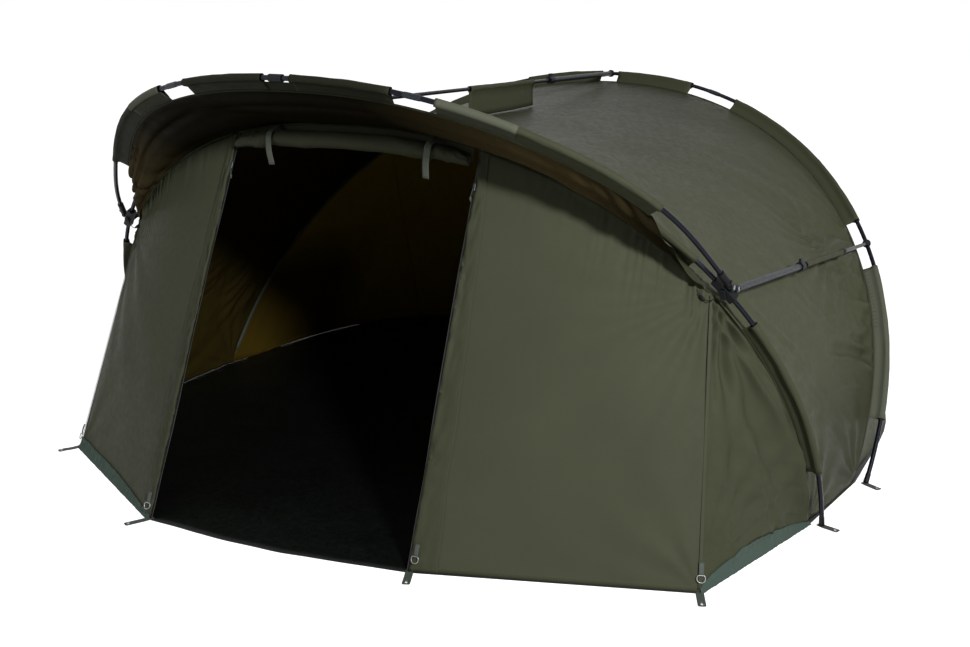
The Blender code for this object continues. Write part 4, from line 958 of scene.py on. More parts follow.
def front_ripple(side):
    corner, foot = side_line(side, MAIN_SEAM)[LOWER], corner_foot(side)
    sideways = (side, 0, 0)

    def ripple(field):
        """Short gathers along the top seam by the hub, and a few tension lines at the corners."""
        points, run, across = field.points, field.run, field.across
        at_hub = np.linalg.norm(points - np.array(corner), axis=2)
        at_foot = np.linalg.norm(points - np.array(foot), axis=2)
        top = across if points[0, 0, 2] > points[0, -1, 2] else across[:, -1:] - across
        total = creased(Folds(0.022, 38, 3, 51), run, across) * falloff(top, 0.08) * falloff(at_hub, 0.30)
        total += creased(Folds(0.003, 28, 4, 53), run, across) * falloff(top, 0.03)
        total += soft(Folds(0.006, 2.4, 1.8, 55), run, across) + soft(Folds(0.002, 7, 5, 57), run, across)
        total += radiate(points, corner, sideways, Fan(0.006, 0.3, 15, 59))
        total += radiate(points, foot, sideways, Fan(0.004, 0.2, 13, 61))
        return total + soft(Folds(0.004, 9, 3, 63), run, across) * falloff(at_foot, 0.25)

    return ripple


def wing_grid(side):
    leg = [Vector(point) for point in side_line(side, MAIN_SEAM)]
    leg[0].z = HEM_LIFT
    knee, foot = leg[LOWER], corner_foot(side)
    grid = []
    for i in range(LOWER + 1):
        outer = along(leg, i if i < LOWER else LOWER - 1 + WING_TOP_SHARE)
        inner = foot.lerp(knee, (outer.z - foot.z) / (knee.z - foot.z))
        grid.append([outer.lerp(inner, s) for s in spread(0, 1, WING_COLUMNS)])
    return grid


def wing_ripple(side):
    seam_line = side_line(side, MAIN_SEAM)

    def ripple(field):
        """Folds that hang from the hub down the wing and pleats against the leg's sleeve."""
        points, run, across = field.points, field.run, field.across
        x, z = points[..., 0], points[..., 2]
        out = (side * 0.5, 0.8, 0)
        slant = x * side + z
        total = radiate(points, seam_line[LOWER], out, Fan(0.015, 0.42, 27, 71))
        total += radiate(points, seam_line[0], out, Fan(0.007, 0.2, 13, 73))
        total += radiate(points, corner_foot(side), out, Fan(0.009, 0.42, 27, 79))
        total += soft(Folds(0.008, 14, 2.2, 75), x, z)
        total += creased(Folds(0.032, 19, 1.5, 74), across, run) * falloff(across, 0.18)
        total += creased(Folds(0.006, 17, 2.5, 76), slant, slant - z * 2) * falloff(z, 0.35)
        total += creased(Folds(0.003, 22, 4, 77), run, across) * falloff(from_ends(across, 1), 0.05)
        return total if side > 0 else total * LEFT_WING_SHARE

    return ripple


def make_front(side):
    """The front panel beside the door and the narrow wing outside it."""
    for base, grid, look, ripple, pinned, sleeve in (
        ("front", front_grid, "front", front_ripple, (0.01, 0.01, 0.01, 0.04), "main_arc_sleeve"),
        ("wing", wing_grid, "wing", wing_ripple, (0.07, 0.01, 0.01, 0.01), side_name("leg_rib_sleeve", side)),
    ):
        obj, flat_size = cloth(side_name(base, side), grid(side), (look, "inside"), ripple(side), pinned,
                               inside_point=(0, 0.6, 0.4), times=3)
        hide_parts(side_name(base + "_panel", side))
        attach(obj, "root")
        declare(obj, flat_size, "hung", [sleeve])


def close_middle(mesh, count):
    """Fills the ring that a sheet's first row leaves open."""
    bm = bmesh.new()
    bm.from_mesh(mesh)
    bm.verts.ensure_lookup_table()
    bm.faces.new(bm.verts[i] for i in range(count)).smooth = True
    bm.to_mesh(mesh)
    bm.free()


def floor_edge():
    """The groundsheet's edge, just past the hems, with a soft belly across the doorway."""
    outline = [door_foot(1), corner_foot(1), MAIN_SEAM[0], REAR_SEAM[0]]
    outline += [back_hem(i / TOP) for i in range(FINE, TOP + 1, FINE)]
    outline += [Vector((-p.x, p.y, p.z)) for p in reversed(outline[4:-1])]
    outline += [REAR_SEAM[-1], MAIN_SEAM[-1], corner_foot(-1), door_foot(-1)]
    ring = [Vector((p.x, p.y, 0)) for p in outline]
    ring = [p + p.normalized() * SHEET_UNDER_HEM for p in ring]
    edge = []
    for a, b in zip(ring, ring[1:] + ring[:1]):
        count = max(int((b - a).length / FLOOR_STEP), 1)
        for share in (i / count for i in range(count)):
            wave = 1 + 0.2 * soft_at(share * 9, 0.5, 85)
            belly = DOOR_BELLY * math.sin(math.pi * share) * wave if b == ring[0] else 0
            edge.append(a.lerp(b, share) - Vector((0, belly, 0)))
    return edge


def make_floor():
    """The groundsheet: nearly flat, with soft rucks inside."""
    ring = floor_edge()
    shares = [s ** 0.8 for s in spread(0, 1, FLOOR_ROWS)][1:]
    grid = np.array([[p * s for p in ring + ring[:1]] for s in shares])
    x, y = grid[..., 0], grid[..., 1]
    edge = 1 - np.array(shares)[:, None]
    rucks = 0.005 * (1 + ridged(x * 3 + y, y * 4 - x, 81)) / 2 + 0.004 * (1 + smooth_noise(x * 8, y * 12, 83))
    grid[..., 2] = SHEET_LIFT + rucks * np.clip(edge / 0.1, 0, 1)
    obj = grid_object("floor_sheet", grid)
    close_middle(obj.data, len(ring))
    store(obj.data, "seam", edge * 1.4 + np.zeros_like(x))
    obj.data.materials.append(looks["floor"])
    place(thicken(obj, CLOTH_THICK), "groundsheet_cloth", "root", "groundsheet")
    size = (2 * float(np.abs(x).max()), float(y.max() - y.min()), surface(grid))
    declare(obj, size, "laid", [])


# Sleeves


SLEEVE_OPENING = math.radians(122)
SLEEVE_SIDES = 18
SLEEVE_THICK = 0.0007
SLEEVE_PUCKER = 0.0011
SLEEVE_SWAY = 0.0022
SLEEVE_FLARE = 0.10
FLARE_REACH = 0.012
OUTLINE_STEP = 0.004
FIN_HALF = 0.0014
WELT_RADIUS = 0.0032


def sleeve_outline(radius, depth):
    """Half-open ring round the pole and the two layers of the fin down to the seam."""
    turns = spread(-SLEEVE_OPENING, SLEEVE_OPENING, SLEEVE_SIDES)
    fin = [(a, FIN_HALF) for a in spread(-radius * 1.5, -depth, 4)]
    ring = [(radius * math.cos(angle), radius * math.sin(angle)) for angle in turns]
    return ring + fin + [(a, -b) for a, b in reversed(fin)]


def sleeve_point(one, a, b, flare, low, pucker, shift):
    """A point of a sleeve, puckered and pushed aside towards its seam."""
    scale = flare + SLEEVE_PUCKER * pucker * low / SLEEVE_RADIUS
    aside = SLEEVE_SWAY * shift * (1 - low) * low * 4
    return one.centre + one.out * (a * (scale if a > 0 else 1)) + one.side * (b * scale + aside)


def make_sleeve(name, frames, spans, depth, body, node_name, look="sleeve", radius=SLEEVE_RADIUS):
    """The stretches of a cloth sleeve between its windows, flared at their ends."""
    verts, marks, faces = [], [], []
    for number, (first, last) in enumerate(spans):
        line = stretch(frames, first, last)
        steps = [0.0] + [(b.centre - a.centre).length for a, b in zip(line, line[1:])]
        total, gone = sum(steps), 0.0
        for i, (one, step) in enumerate(zip(line, steps)):
            gone += step
            ends = min(gone, total - gone)
            flare = 1 + SLEEVE_FLARE * math.exp(-ends / FLARE_REACH)
            deep = depth(one) if callable(depth) else depth
            outline = sleeve_outline(radius, deep)
            base, count = len(verts), len(outline)
            for j, (a, b) in enumerate(outline):
                low = max(0.0, min(1.0, (a + deep) / deep))
                pucker = soft_at(gone * 30 + number * 9, j * 0.45, 91)
                verts.append(sleeve_point(one, a, b, flare, low, pucker, soft_at(gone * 18, a * 20, 93)))
                marks.append((gone, j * OUTLINE_STEP, min(abs(a + deep), ends)))
            for j in range(count if i else 0):
                k = (j + 1) % count
                faces.append((base - count + j, base - count + k, base + k, base + j))
    mesh = bpy.data.meshes.new(name)
    mesh.from_pydata([tuple(v) for v in verts], [], faces)
    mesh.shade_smooth()
    mesh.materials.append(looks[look])
    for key, values in zip(("run", "across", "seam"), zip(*marks)):
        store(mesh, key, values)
    return place(thicken(shown(name, mesh), SLEEVE_THICK), "sleeve_cloth", body, node_name)


def at_width(frames, x):
    """The station on a rib's right half that lies so far from the middle."""
    return station([one.centre.x for one in frames[:len(frames) // 2 + 1]], x)


def at_reach(frames, rib, reach):
    """The station on a rib's right half at a reach up from the ground."""
    return station([(one.centre - rib.foot).dot(rib.up) for one in frames[:TOP + 1]], reach)


def mirrored(first, last, total):
    return [(first, last), (total - last, total - first)]


def windows_in(frames, side_window, centre_half):
    """A window in each side of a rib's sleeve and one over the middle."""
    last = len(frames) - 1
    outer, inner, middle = (at_width(frames, x) for x in (side_window[1], side_window[0], centre_half))
    return mirrored(outer, inner, last) + [(middle, last - middle)]


def cut_spans(start, end, windows):
    """The stretches left between windows."""
    spans = []
    for first, last in sorted(windows):
        spans.append((start, first))
        start = last
    return spans + [(start, end)]


def make_sleeves():
    end = at_reach(REAR_FRAMES, REAR, REAR_SLEEVE_END)
    tee_window = [
        at_reach(REAR_FRAMES, REAR, REAR_TEE_REACH + REAR_TEE_WINDOW * share) for share in (-1 / 2, 1 / 2)
    ]
    windows = windows_in(REAR_FRAMES, REAR_SIDE_WINDOW_X, REAR_CENTRE_WINDOW_HALF)
    windows += mirrored(*tee_window, 2 * TOP)
    spans = cut_spans(end, 2 * TOP - end, windows)
    make_sleeve("rear_rib_sleeve", REAR_FRAMES, spans[1:-1], SLEEVE_DEPTH, "rear_rib", "rear_sleeve")
    for side, span in ((1, spans[0]), (-1, spans[-1])):
        name = side_name("rear_leg_sleeve", side)
        make_sleeve(name, REAR_FRAMES, [span], SLEEVE_DEPTH, "rear_rib", None, "patch")
    spans = cut_spans(0, 2 * UPPER, windows_in(PEAK_FRAMES, PEAK_WINDOW_X, CENTRE_WINDOW_HALF))
    make_sleeve("peak_rib_sleeve", PEAK_FRAMES, spans, PEAK_SLEEVE_DEPTH, "peak_rib", "peak_sleeve",
                "peak_sleeve")
    past_hub = (1 + 1 / UPPER_STEPS) * FINE
    spans = mirrored(past_hub, at_width(ARC_FRAMES, CENTRE_WINDOW_HALF), 2 * UPPER)
    make_sleeve("main_arc_sleeve", ARC_FRAMES, spans, SLEEVE_DEPTH, "root", "main_sleeve")
    span = tuple(at_reach(MAIN_FRAMES, MAIN, reach) for reach in LEG_SLEEVE_SPAN)
    for side in SIDES:
        make_sleeve(side_name("leg_rib_sleeve", side), side_line(side, MAIN_FRAMES), [span],
                    SLEEVE_DEPTH, "root", side_name("leg_sleeve", side))


def make_welts():
    """The bound seam that runs under each rib."""
    for name, points, body, look in (
        ("main_welt", MAIN_SEAM[1:-1], "root", "sleeve"),
        ("rear_welt", REAR_SEAM[1:-1], "rear_rib", "sleeve"),
        ("peak_welt", PEAK_SEAM, "peak_rib", "peak_sleeve"),
    ):
        piece = round_piece(name, points, WELT_RADIUS, look, 8, "sleeve_cloth", body)
        for key in ("run", "across", "seam"):
            store(piece.data, key, np.zeros(len(piece.data.vertices)))


# Poles


HUB_HALF = 0.043
HUB_DROP = 0.012
SOCKET_DEPTH = 0.014
KNUCKLE_REACH = 0.0665
KNUCKLE_DEPTH = 0.9 * 0.036


def centres(frames):
    return [one.centre for one in frames]


def shorten(line, end, length):
    """Moves the first or last point of a line along it."""
    following = 1 if end == 0 else -2
    line[end] = line[end] + (line[following] - line[end]).normalized() * length


def smooth_pole(name, points, node_name, body):
    """A round pole in place of the solid's coarse one."""
    round_piece(name, points, POLE_RADIUS, "pole", 20, "pole_metal", body, node_name)


def make_poles():
    arc = centres(ARC_FRAMES)
    for end in (0, -1):
        shorten(arc, end, HUB_HALF - HUB_DROP - SOCKET_DEPTH)
    smooth_pole("arc_pole", arc, "main_arc_pole", "root")
    for side in SIDES:
        leg = centres(side_line(side, MAIN_FRAMES)[:LOWER + 1])
        shorten(leg, -1, HUB_HALF + HUB_DROP - SOCKET_DEPTH)
        smooth_pole(side_name("leg", side), leg, side_name("leg_pole", side), "root")
    smooth_pole("rear_pole", centres(REAR_FRAMES), "rear_rib_pole", "rear_rib")
    bare = spread(PEAK.angle_at_reach(KNUCKLE_REACH), PEAK_ANGLES[0], 14)[:-1]
    peak = centres(PEAK.frames(bare + PEAK_ANGLES))
    for end in (0, -1):
        shorten(peak, end, -KNUCKLE_DEPTH)
    smooth_pole("peak_pole", peak, "peak_rib_pole", "peak_rib")


def finish_nodes():
    """Materials for the solids that stay in sight."""
    kinds = {
        "pole_metal": "pole", "bar_metal": "bar", "moulded_plastic": "nylon", "steel_fittings": "steel",
        "webbing": "web",
    }
    for part in frame["record"]["subparts"]:
        kind = kinds.get(part["material_slot"])
        if kind is None:
            continue
        solid = frame["nodes"][part["node"]]
        solid.data.materials.clear()
        solid.data.materials.append(looks["bar" if "zip_slider" in part["node"] else kind])


# Bar covers


BAR_START = Vector((1.25646, -0.67762, 0.84395))
CENTRE_START = Vector((0, -0.8898, 1.35625))
COVER_RADIUS = 0.0100
SIDE_COVER_SPAN = (0.62, 1.03)
SIDE_COVER_DEPTH = 0.026
CENTRE_COVER_SPAN = (0.75, 1.25)
COVER_STEPS = 28


def side_bar(side):
    """Where a side bar starts and the way it runs."""
    start = BAR_START * Vector((side, 1, 1))
    return start, (side_line(side, REAR_FRAMES)[LOWER].centre - start).normalized()


def square_to(way, out):
    return (out - way * out.dot(way)).normalized()


def make_cover(name, start, way, out, span, depth, node_name, body, joint, anchor):
    """A cloth sleeve round a bar's rod, sewn down to the canopy."""
    across = way.cross(out).normalized()
    frames = [Frame(start + way * spot, out, across) for spot in spread(*span, COVER_STEPS)]
    piece = make_sleeve(name, frames, [(0, COVER_STEPS)], depth, body, node_name, radius=COVER_RADIUS)
    tuple(way)
    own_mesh(piece)


def centre_cover_depth(one):
    """How far the centre bar's rod runs above the roof."""
    front, back = MAIN_SEAM[TOP].y, REAR_SEAM[TOP].y
    share = (one.centre.y - front) / (back - front)
    return one.centre.z - roof_point(TOP, share).z - CLOTH_THICK


def make_covers():
    for side in SIDES:
        start, way = side_bar(side)
        out = square_to(way, Vector((side, 0, 1)).normalized())
        make_cover(side_name("bar_cover", side), start, way, out, SIDE_COVER_SPAN, SIDE_COVER_DEPTH,
                   side_name("side_cover", side), side_name("side_rod", side),
                   side_name("side_rod_slide", side), SIDE_COVER_SPAN[1])
    way = (REAR_FRAMES[TOP].centre - CENTRE_START).normalized()
    make_cover("top_bar_cover", CENTRE_START, way, square_to(way, Vector((0, 0, 1))), CENTRE_COVER_SPAN,
               centre_cover_depth, "centre_cover", "centre_rod", "centre_tube_slide", CENTRE_COVER_SPAN[0])


# Rolled door


ROLL_RADIUS = 0.029
ROLL_END_RADIUS = 0.014
ROLL_FULL_HALF_WIDTH = 0.35
ROLL_CRUMPLE_FROM = 0.30
ROLL_HALF_WIDTH = 0.468
ROLL_MIDDLE_Z = 1.238
ROLL_BOW = 0.016
ROLL_CORNER_DROP = 0.04
ROLL_FORWARD = 0.035
ROLL_TURNS = 8
ROLL_STEPS = 20
ROLL_CORE = 0.006
ROLL_COLUMNS = 130
ROLL_THICK = 0.0006
TIE_PLACES = (-0.29, 0.34)
TIE_WIDTH = 0.024
TIE_THICK = 0.0012
TIE_TAIL = 0.085
TIE_LEAN = 0.10
TIE_REACH = 0.03
TIE_CINCH = 0.22
Roll = namedtuple("Roll", "hung_from centre radius out side")


def roll_at(x):
    """The seam's point, the roll's middle below it, its radius and its directions at a place across."""
    hung_from = along(MAIN_SEAM, station([point.x for point in MAIN_SEAM], x))
    level = ROLL_MIDDLE_Z - ROLL_BOW * (x / ROLL_FULL_HALF_WIDTH) ** 2
    corner = hung_from.z - ROLL_CORNER_DROP
    past = max(abs(x) - ROLL_FULL_HALF_WIDTH, 0) / (ROLL_HALF_WIDTH - ROLL_FULL_HALF_WIDTH)
    centre = Vector((x, hung_from.y - ROLL_FORWARD, level + (corner - level) * past))
    radius = ROLL_RADIUS + (ROLL_END_RADIUS - ROLL_RADIUS) * past
    out = (hung_from - centre).normalized()
    return Roll(hung_from, centre, radius, out, Vector((1, 0, 0)).cross(out))


def round_roll(roll, angle, size):
    return roll.centre + (roll.out * math.cos(angle) + roll.side * math.sin(angle)) * size


def roll_swell(x, turned):
    """How crumpled ends, creases and ties change the roll's plain spiral."""
    loose = max(abs(x) - ROLL_CRUMPLE_FROM, 0) / (ROLL_HALF_WIDTH - ROLL_CRUMPLE_FROM)
    crumple = crest_at(x * 34 + 40, turned * 0.9, 101) * loose ** 0.5
    billow = soft_at(x * 7 + 9, turned * 0.7, 103)
    crease = crest_at(x * 15 + turned * 0.6, turned * 0.5, 105)
    cinch = sum(math.exp(-((x - tie) / TIE_REACH) ** 2) for tie in TIE_PLACES)
    return (1 + 0.36 * crumple + 0.10 * billow + 0.07 * crease) * (1 - TIE_CINCH * cinch)


def make_rolled_door():
    """The door's cloth, hung behind the roll and wound forward under it, crumpled at both ends."""
    rows = []
    total = ROLL_TURNS * ROLL_STEPS
    for x in spread(ROLL_HALF_WIDTH, -ROLL_HALF_WIDTH, ROLL_COLUMNS):
        roll = roll_at(x)
        tangent = roll.centre - roll.side * roll.radius
        row = [roll.hung_from.lerp(tangent, s) for s in spread(0, 1, 6)][:-1]
        core = ROLL_CORE * roll.radius / ROLL_RADIUS
        for k in range(total + 1):
            turned = 2 * math.pi * k / ROLL_STEPS
            size = roll.radius + (core - roll.radius) * k / total
            row.append(round_roll(roll, -math.pi / 2 - turned, size * roll_swell(x, turned)))
        rows.append(row)
    points = as_grid(rows)
    far = np.full(points.shape[:2], FAR_OFF)
    obj = thin_piece("door_roll", points, far, "flap", ROLL_THICK, "canopy_cloth", "root", "rolled_door")
    size = (float(lengths(points, 0)[-1].max()), float(lengths(points, 1)[:, -1].max()), surface(points))
    declare(obj, size, "folded", ["main_arc_sleeve"])


def make_roll_ties():
    """Two straps that hold the roll up, each with its tail hanging down in front."""
    for number, x in enumerate(TIE_PLACES):
        roll = roll_at(x)
        size = roll.radius * 0.92 + 0.003
        path = [roll.hung_from + roll.side * 0.004]
        path += [round_roll(roll, angle, size) for angle in spread(0.5, math.pi * 0.72, 12)]
        lean = TIE_LEAN * (1 - 2 * number)
        swing = Vector((lean, 0, -1)).normalized() * TIE_TAIL
        last = path[-1]
        path += [last + swing * s - Vector((0, 0.004 * math.sin(s * 4), 0)) for s in spread(0, 1, 8)[1:]]
        sides = [Vector((1, 0, lean)).normalized()] * len(path)
        ribbon(f"roll_tie_{number + 1}", path, sides, TIE_WIDTH, TIE_THICK, "tie", "webbing", "root")


# Door edges


FLAP_WIDTHS = (0.030, 0.088)
FLAP_LIFT = 0.0035
TAPE_WIDTH = 0.016
COIL_PAST_EDGE = 0.0058
EDGE_THICK = 0.0008
FLAP_WAVE = 0.0045
FLAP_CREASE = 0.0060
FLAP_PAST_EDGE = 0.003
TAPE_BEHIND = 0.002
TAPE_UNDER_CLOTH = 0.006
COIL_RADIUS = 0.0016
FLAP_COLUMNS = 10
FLAP_ROWS = 110


def grid_spot(grid, row, share):
    """A point of a surface at a fractional row and a share of the way across."""
    column = min(max(share, 0), 1) * (grid.shape[1] - 1)
    low, left = min(max(int(row), 0), len(grid) - 2), min(int(column), grid.shape[1] - 2)
    down, right = row - low, column - left
    first = grid[low, left] * (1 - right) + grid[low, left + 1] * right
    second = grid[low + 1, left] * (1 - right) + grid[low + 1, left + 1] * right
    return Vector(first * (1 - down) + second * down)


def door_edge(grid):
    """Points down the door's edge, each with the ways out of the opening and out of the panel."""
    last = len(grid) - 1
    for share in spread(0, 1, FLAP_ROWS):
        edge, inner = grid_spot(grid, last, share), grid_spot(grid, last - 1, share)
        down = grid_spot(grid, last, min(share + 0.02, 1)) - grid_spot(grid, last, max(share - 0.02, 0))
        away = (inner - edge).normalized()
        facing = away.cross(down).normalized()
        yield share, edge, (inner - edge).length, away, -facing if facing.y > 0 else facing


def make_door_edge(side):
    """The storm flap along the door's edge, with the zip's tape and coil behind it."""
    grid = surfaces[side_name("front", side)]
    flap, tape, coil = [], [], []
    for share, edge, step, away, facing in door_edge(grid):
        width = FLAP_WIDTHS[0] + (FLAP_WIDTHS[1] - FLAP_WIDTHS[0]) * share ** 0.8
        row = []
        for s in spread(0, 1, FLAP_COLUMNS):
            base = grid_spot(grid, len(grid) - 1 - s * width / step, share)
            lift = FLAP_LIFT * (1 - 0.6 * s ** 3)
            wave = soft_at(share * 30, s * 1.5, 111 + side) * FLAP_WAVE
            crease = crest_at(share * 38 + s * 3, s * 3.2, 113 + side) * FLAP_CREASE
            row.append(base + facing * (lift + (wave + crease) * (1 - s)))
        row[0] = row[0] - away * FLAP_PAST_EDGE
        flap.append([edge - away * 0.002 + facing * 0.0002] + row)
        inside = edge - facing * TAPE_BEHIND
        tape.append([inside + away * (TAPE_UNDER_CLOTH - TAPE_WIDTH * s) for s in spread(0, 1, 3)])
        coil.append(inside - away * COIL_PAST_EDGE)
    points = as_grid(flap)
    seam_off = from_ends(lengths(points, 1), 1)
    thin_piece(side_name("door_flap", side), points, seam_off, "flap", EDGE_THICK, "canopy_cloth", "root")
    thin_piece(side_name("zip_tape", side), as_grid(tape), None, "tape", EDGE_THICK, "webbing", "root")
    round_piece(side_name("zip_coil", side), coil, COIL_RADIUS, "nylon", 8, "moulded_plastic", "root")


# Length and radius of the zips' cords and grips
PULL_CORD = (0.024, 0.0011)
PULL_GRIP = (0.015, 0.0022)


def make_pullers():
    """A pull cord and a moulded grip on each zip's slider."""
    for side in SIDES:
        slider = side_name("zip_slider", side)
        low, high = (Vector(corner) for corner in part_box(slider))
        middle = (low + high) / 2
        top = Vector((middle.x, low.y - 0.0012, middle.z - 0.004))
        sway = Vector((-side * 0.006, -0.004, 0))
        cord = [top + sway * s - Vector((0, 0, PULL_CORD[0] * s)) for s in spread(0, 1, 8)]
        grip = [cord[-1] - Vector((0, 0, PULL_GRIP[0] * s)) for s in spread(0, 1, 8)]
        round_piece(side_name("pull_cord", side), cord, PULL_CORD[1], "tie", 8, "webbing", slider)
        round_piece(side_name("pull_grip", side), grip,
                    lambda s: PULL_GRIP[1] + 0.0014 * math.sin(math.pi * min(s + 0.1, 1)), "tie", 10,
                    "moulded_plastic", slider)


# Straps and rings


STRAP_WIDTH = 0.025
STRAP_THICK = 0.0018
FOOT_STRAP = (-0.012, 0.062)
CORNER_STRAP = (-0.012, 0.085)
EYELET_RADIUS = 0.0045
EYELET_WIRE = 0.0014
EYELET_RIM = 0.0012
EYELET_LIFT = 0.0022
STRAP_LIFT = 0.0012
STRAP_RISE = 0.0026
STRAP_RISE_REACH = 0.03
STRAP_WAVE = 0.0012
STRAP_ANGLES = 72
STRAP_CORNER_POWER = 5
STRAP_TURNS = {"main_foot": -15, "rear_foot": -27, "door": -64, "corner": -64}
RING_HEIGHT = 0.052
RING_RADIUS = 0.0125
RING_WIRE = 0.0016
RING_STEPS = 36
D_RING_SQUARED = 0.3
WIRE_SIDES = 10
TAB_WIDTH = 0.015
TAB_THICK = 0.0014
TAB_TOP = 0.034
TAB_LENGTH = 0.040
TAB_OUT = 0.006
TAB_BELLY = 0.002
RING_DROP = 0.012
RING_OUT = 0.009


def strap_outline(direction, across, eye, back, angle):
    """The strap's edge seen from its eyelet at an angle, with rounded outer corners."""
    half = STRAP_WIDTH / 2
    ray = (math.cos(angle), math.sin(angle))
    if ray[0] >= 0:
        power = STRAP_CORNER_POWER
        reach = half / (abs(ray[0]) ** power + abs(ray[1]) ** power) ** (1 / power)
    else:
        reach = min(back / max(-ray[0], 1e-6), half / max(abs(ray[1]), 1e-6))
    return eye + (direction * ray[0] + across * ray[1]) * reach


def ring_piece(name, centre, first, second, radius, wire_radius, squared=0.0):
    """A closed steel ring; squared pulls one side straight, as a D-ring has it."""
    bm = bmesh.new()
    normal = first.cross(second).normalized()
    rings = []
    for i in range(RING_STEPS):
        angle = 2 * math.pi * i / RING_STEPS
        cos, sin = math.cos(angle), math.sin(angle)
        outward = (first * cos + second * sin).normalized()
        middle = centre + (first * cos + second * min(sin, 1 - squared)) * radius
        ring = circle(middle, outward, normal, wire_radius, WIRE_SIDES)
        rings.append([bm.verts.new(point) for point in ring])
    for ring, following in zip(rings, rings[1:] + rings[:1]):
        join_rings(bm, ring, following)
    place(mesh_from(name, bm, "steel"), "steel_fittings", "root")


def make_strap(name, start, direction, span, node_name):
    """A webbing strap that comes out from under the hem and ends in a steel eyelet."""
    across = Vector((-direction.y, direction.x, 0))
    eye = start + direction * (span[1] - STRAP_WIDTH / 2)
    back = span[1] - STRAP_WIDTH / 2 - span[0]
    corner = math.atan2(STRAP_WIDTH / 2, -back)
    turns = [2 * math.pi * i / STRAP_ANGLES for i in range(STRAP_ANGLES)]
    angles = sorted(turns + [corner, 2 * math.pi - corner])
    bm = bmesh.new()
    rings = []
    for share in spread(0, 1, 4):
        ring = []
        for angle in angles:
            inner = eye + (direction * math.cos(angle) + across * math.sin(angle)) * EYELET_RADIUS
            point = inner.lerp(strap_outline(direction, across, eye, back, angle), share)
            gone = (point - eye).dot(direction) + back
            lift = STRAP_RISE * max(0.0, 1 - gone / STRAP_RISE_REACH) ** 2
            wave = STRAP_WAVE * soft_at(gone * 40 + start.x * 9, 1.0, 121) ** 2
            ring.append(bm.verts.new(point + Vector((0, 0, STRAP_LIFT + lift + wave))))
        rings.append(ring)
    for ring, following in zip(rings, rings[1:]):
        join_rings(bm, ring, following)
    place(thicken(mesh_from(name, bm, "web"), STRAP_THICK), "webbing", "root", node_name)
    ring_piece(name + "_eyelet", eye + Vector((0, 0, EYELET_LIFT)), direction, across,
               EYELET_RADIUS + EYELET_RIM, EYELET_WIRE)


def strap_places(side):
    """Each strap's name, its start on the ground and how far it goes in and out from there."""
    for base, rib in (("main_foot", MAIN), ("rear_foot", REAR)):
        foot = rib.frame(rib.angle_at_reach(foot_reach(rib.lean))).centre
        yield base, Vector((side * foot.x, foot.y, 0)), FOOT_STRAP
    for base, foot in (("door", door_foot(side)), ("corner", corner_foot(side))):
        yield base, Vector((foot.x, foot.y, 0)), CORNER_STRAP


def make_straps():
    for side in SIDES:
        for base, start, span in strap_places(side):
            turn = math.radians(STRAP_TURNS[base])
            direction = Vector((side * math.cos(turn), math.sin(turn), 0))
            make_strap(side_name(base + "_webbing", side), start, direction, span,
                       side_name(base + "_strap", side))


def make_corner_rings():
    """A D-ring on a short webbing tab at the foot of each door edge and corner seam."""
    for side in SIDES:
        seam_line = side_line(side, MAIN_SEAM)
        for base, foot, top, aside, turn in (
            ("door", door_foot(side), seam_line[DOOR_STATION], 0.016, 0),
            ("corner", corner_foot(side), seam_line[LOWER], 0.002, 0.5),
        ):
            rise = (top - foot).normalized()
            facing = Vector((side * turn, -1, 0)).normalized()
            across = rise.cross(facing).normalized()
            facing = across.cross(rise).normalized()
            at = foot + rise * RING_HEIGHT + across * aside * (1 if across.x * side > 0 else -1)
            tab = []
            for s in spread(0, 1, 8):
                off = TAB_OUT + TAB_BELLY * math.sin(math.pi * s)
                tab.append(at + rise * (TAB_TOP - TAB_LENGTH * s) + facing * off)
            ribbon(side_name(base + "_tab", side), tab, [across] * len(tab), TAB_WIDTH, TAB_THICK,
                   "web", "webbing", "root")
            ring_piece(side_name(base + "_ring", side), at - rise * RING_DROP + facing * RING_OUT, across,
                       rise, RING_RADIUS, RING_WIRE, D_RING_SQUARED)


# Hem strips


MUD_LIFT = 0.0045
MUD_SPLAY = 0.010
BACK_STRIP_FROM = 34
MUD_FINER = 3
MUD_WAVE = 0.0018
STRIP_LIFT = 0.0016
STRIP_MIDDLE_Y = 0.2


def make_mud_strip(name, grid, heights, body, seed, straight=False):
    """The coated strip along a wall's hem, splayed a little on the ground."""
    fine = MUD_FINER * (len(grid) - 1)
    rows = []
    for n in range(fine + 1):
        row_at, top_share = n / MUD_FINER, n / fine
        height = heights[0] + (heights[1] - heights[0]) * top_share
        height += heights[2] * math.sin(math.pi * top_share)
        height *= 1 + 0.05 * soft_at(n * 0.2, 2.0, seed)
        length = (grid_spot(grid, row_at, 1) - grid_spot(grid, row_at, 0)).length
        share = min(height / max(length, 1e-3), 0.9)
        row = []
        for s in spread(0, 1, 7):
            base = grid_spot(grid, row_at, 1 - share * (1 - s))
            outward = FORWARD if straight else Vector((base.x, base.y - STRIP_MIDDLE_Y, 0)).normalized()
            wave = MUD_WAVE * soft_at(n * 0.8, s * 1.7, seed + 1)
            base = base + outward * (MUD_LIFT + wave + MUD_SPLAY * s ** 3)
            row.append(Vector((base.x, base.y, max(base.z * (1 - 0.3 * s ** 4), STRIP_LIFT))))
        rows.append(row)
    points = as_grid(rows)
    thin_piece(name, points, lengths(points, 1), "mud", SLEEVE_THICK, "canopy_cloth", body)


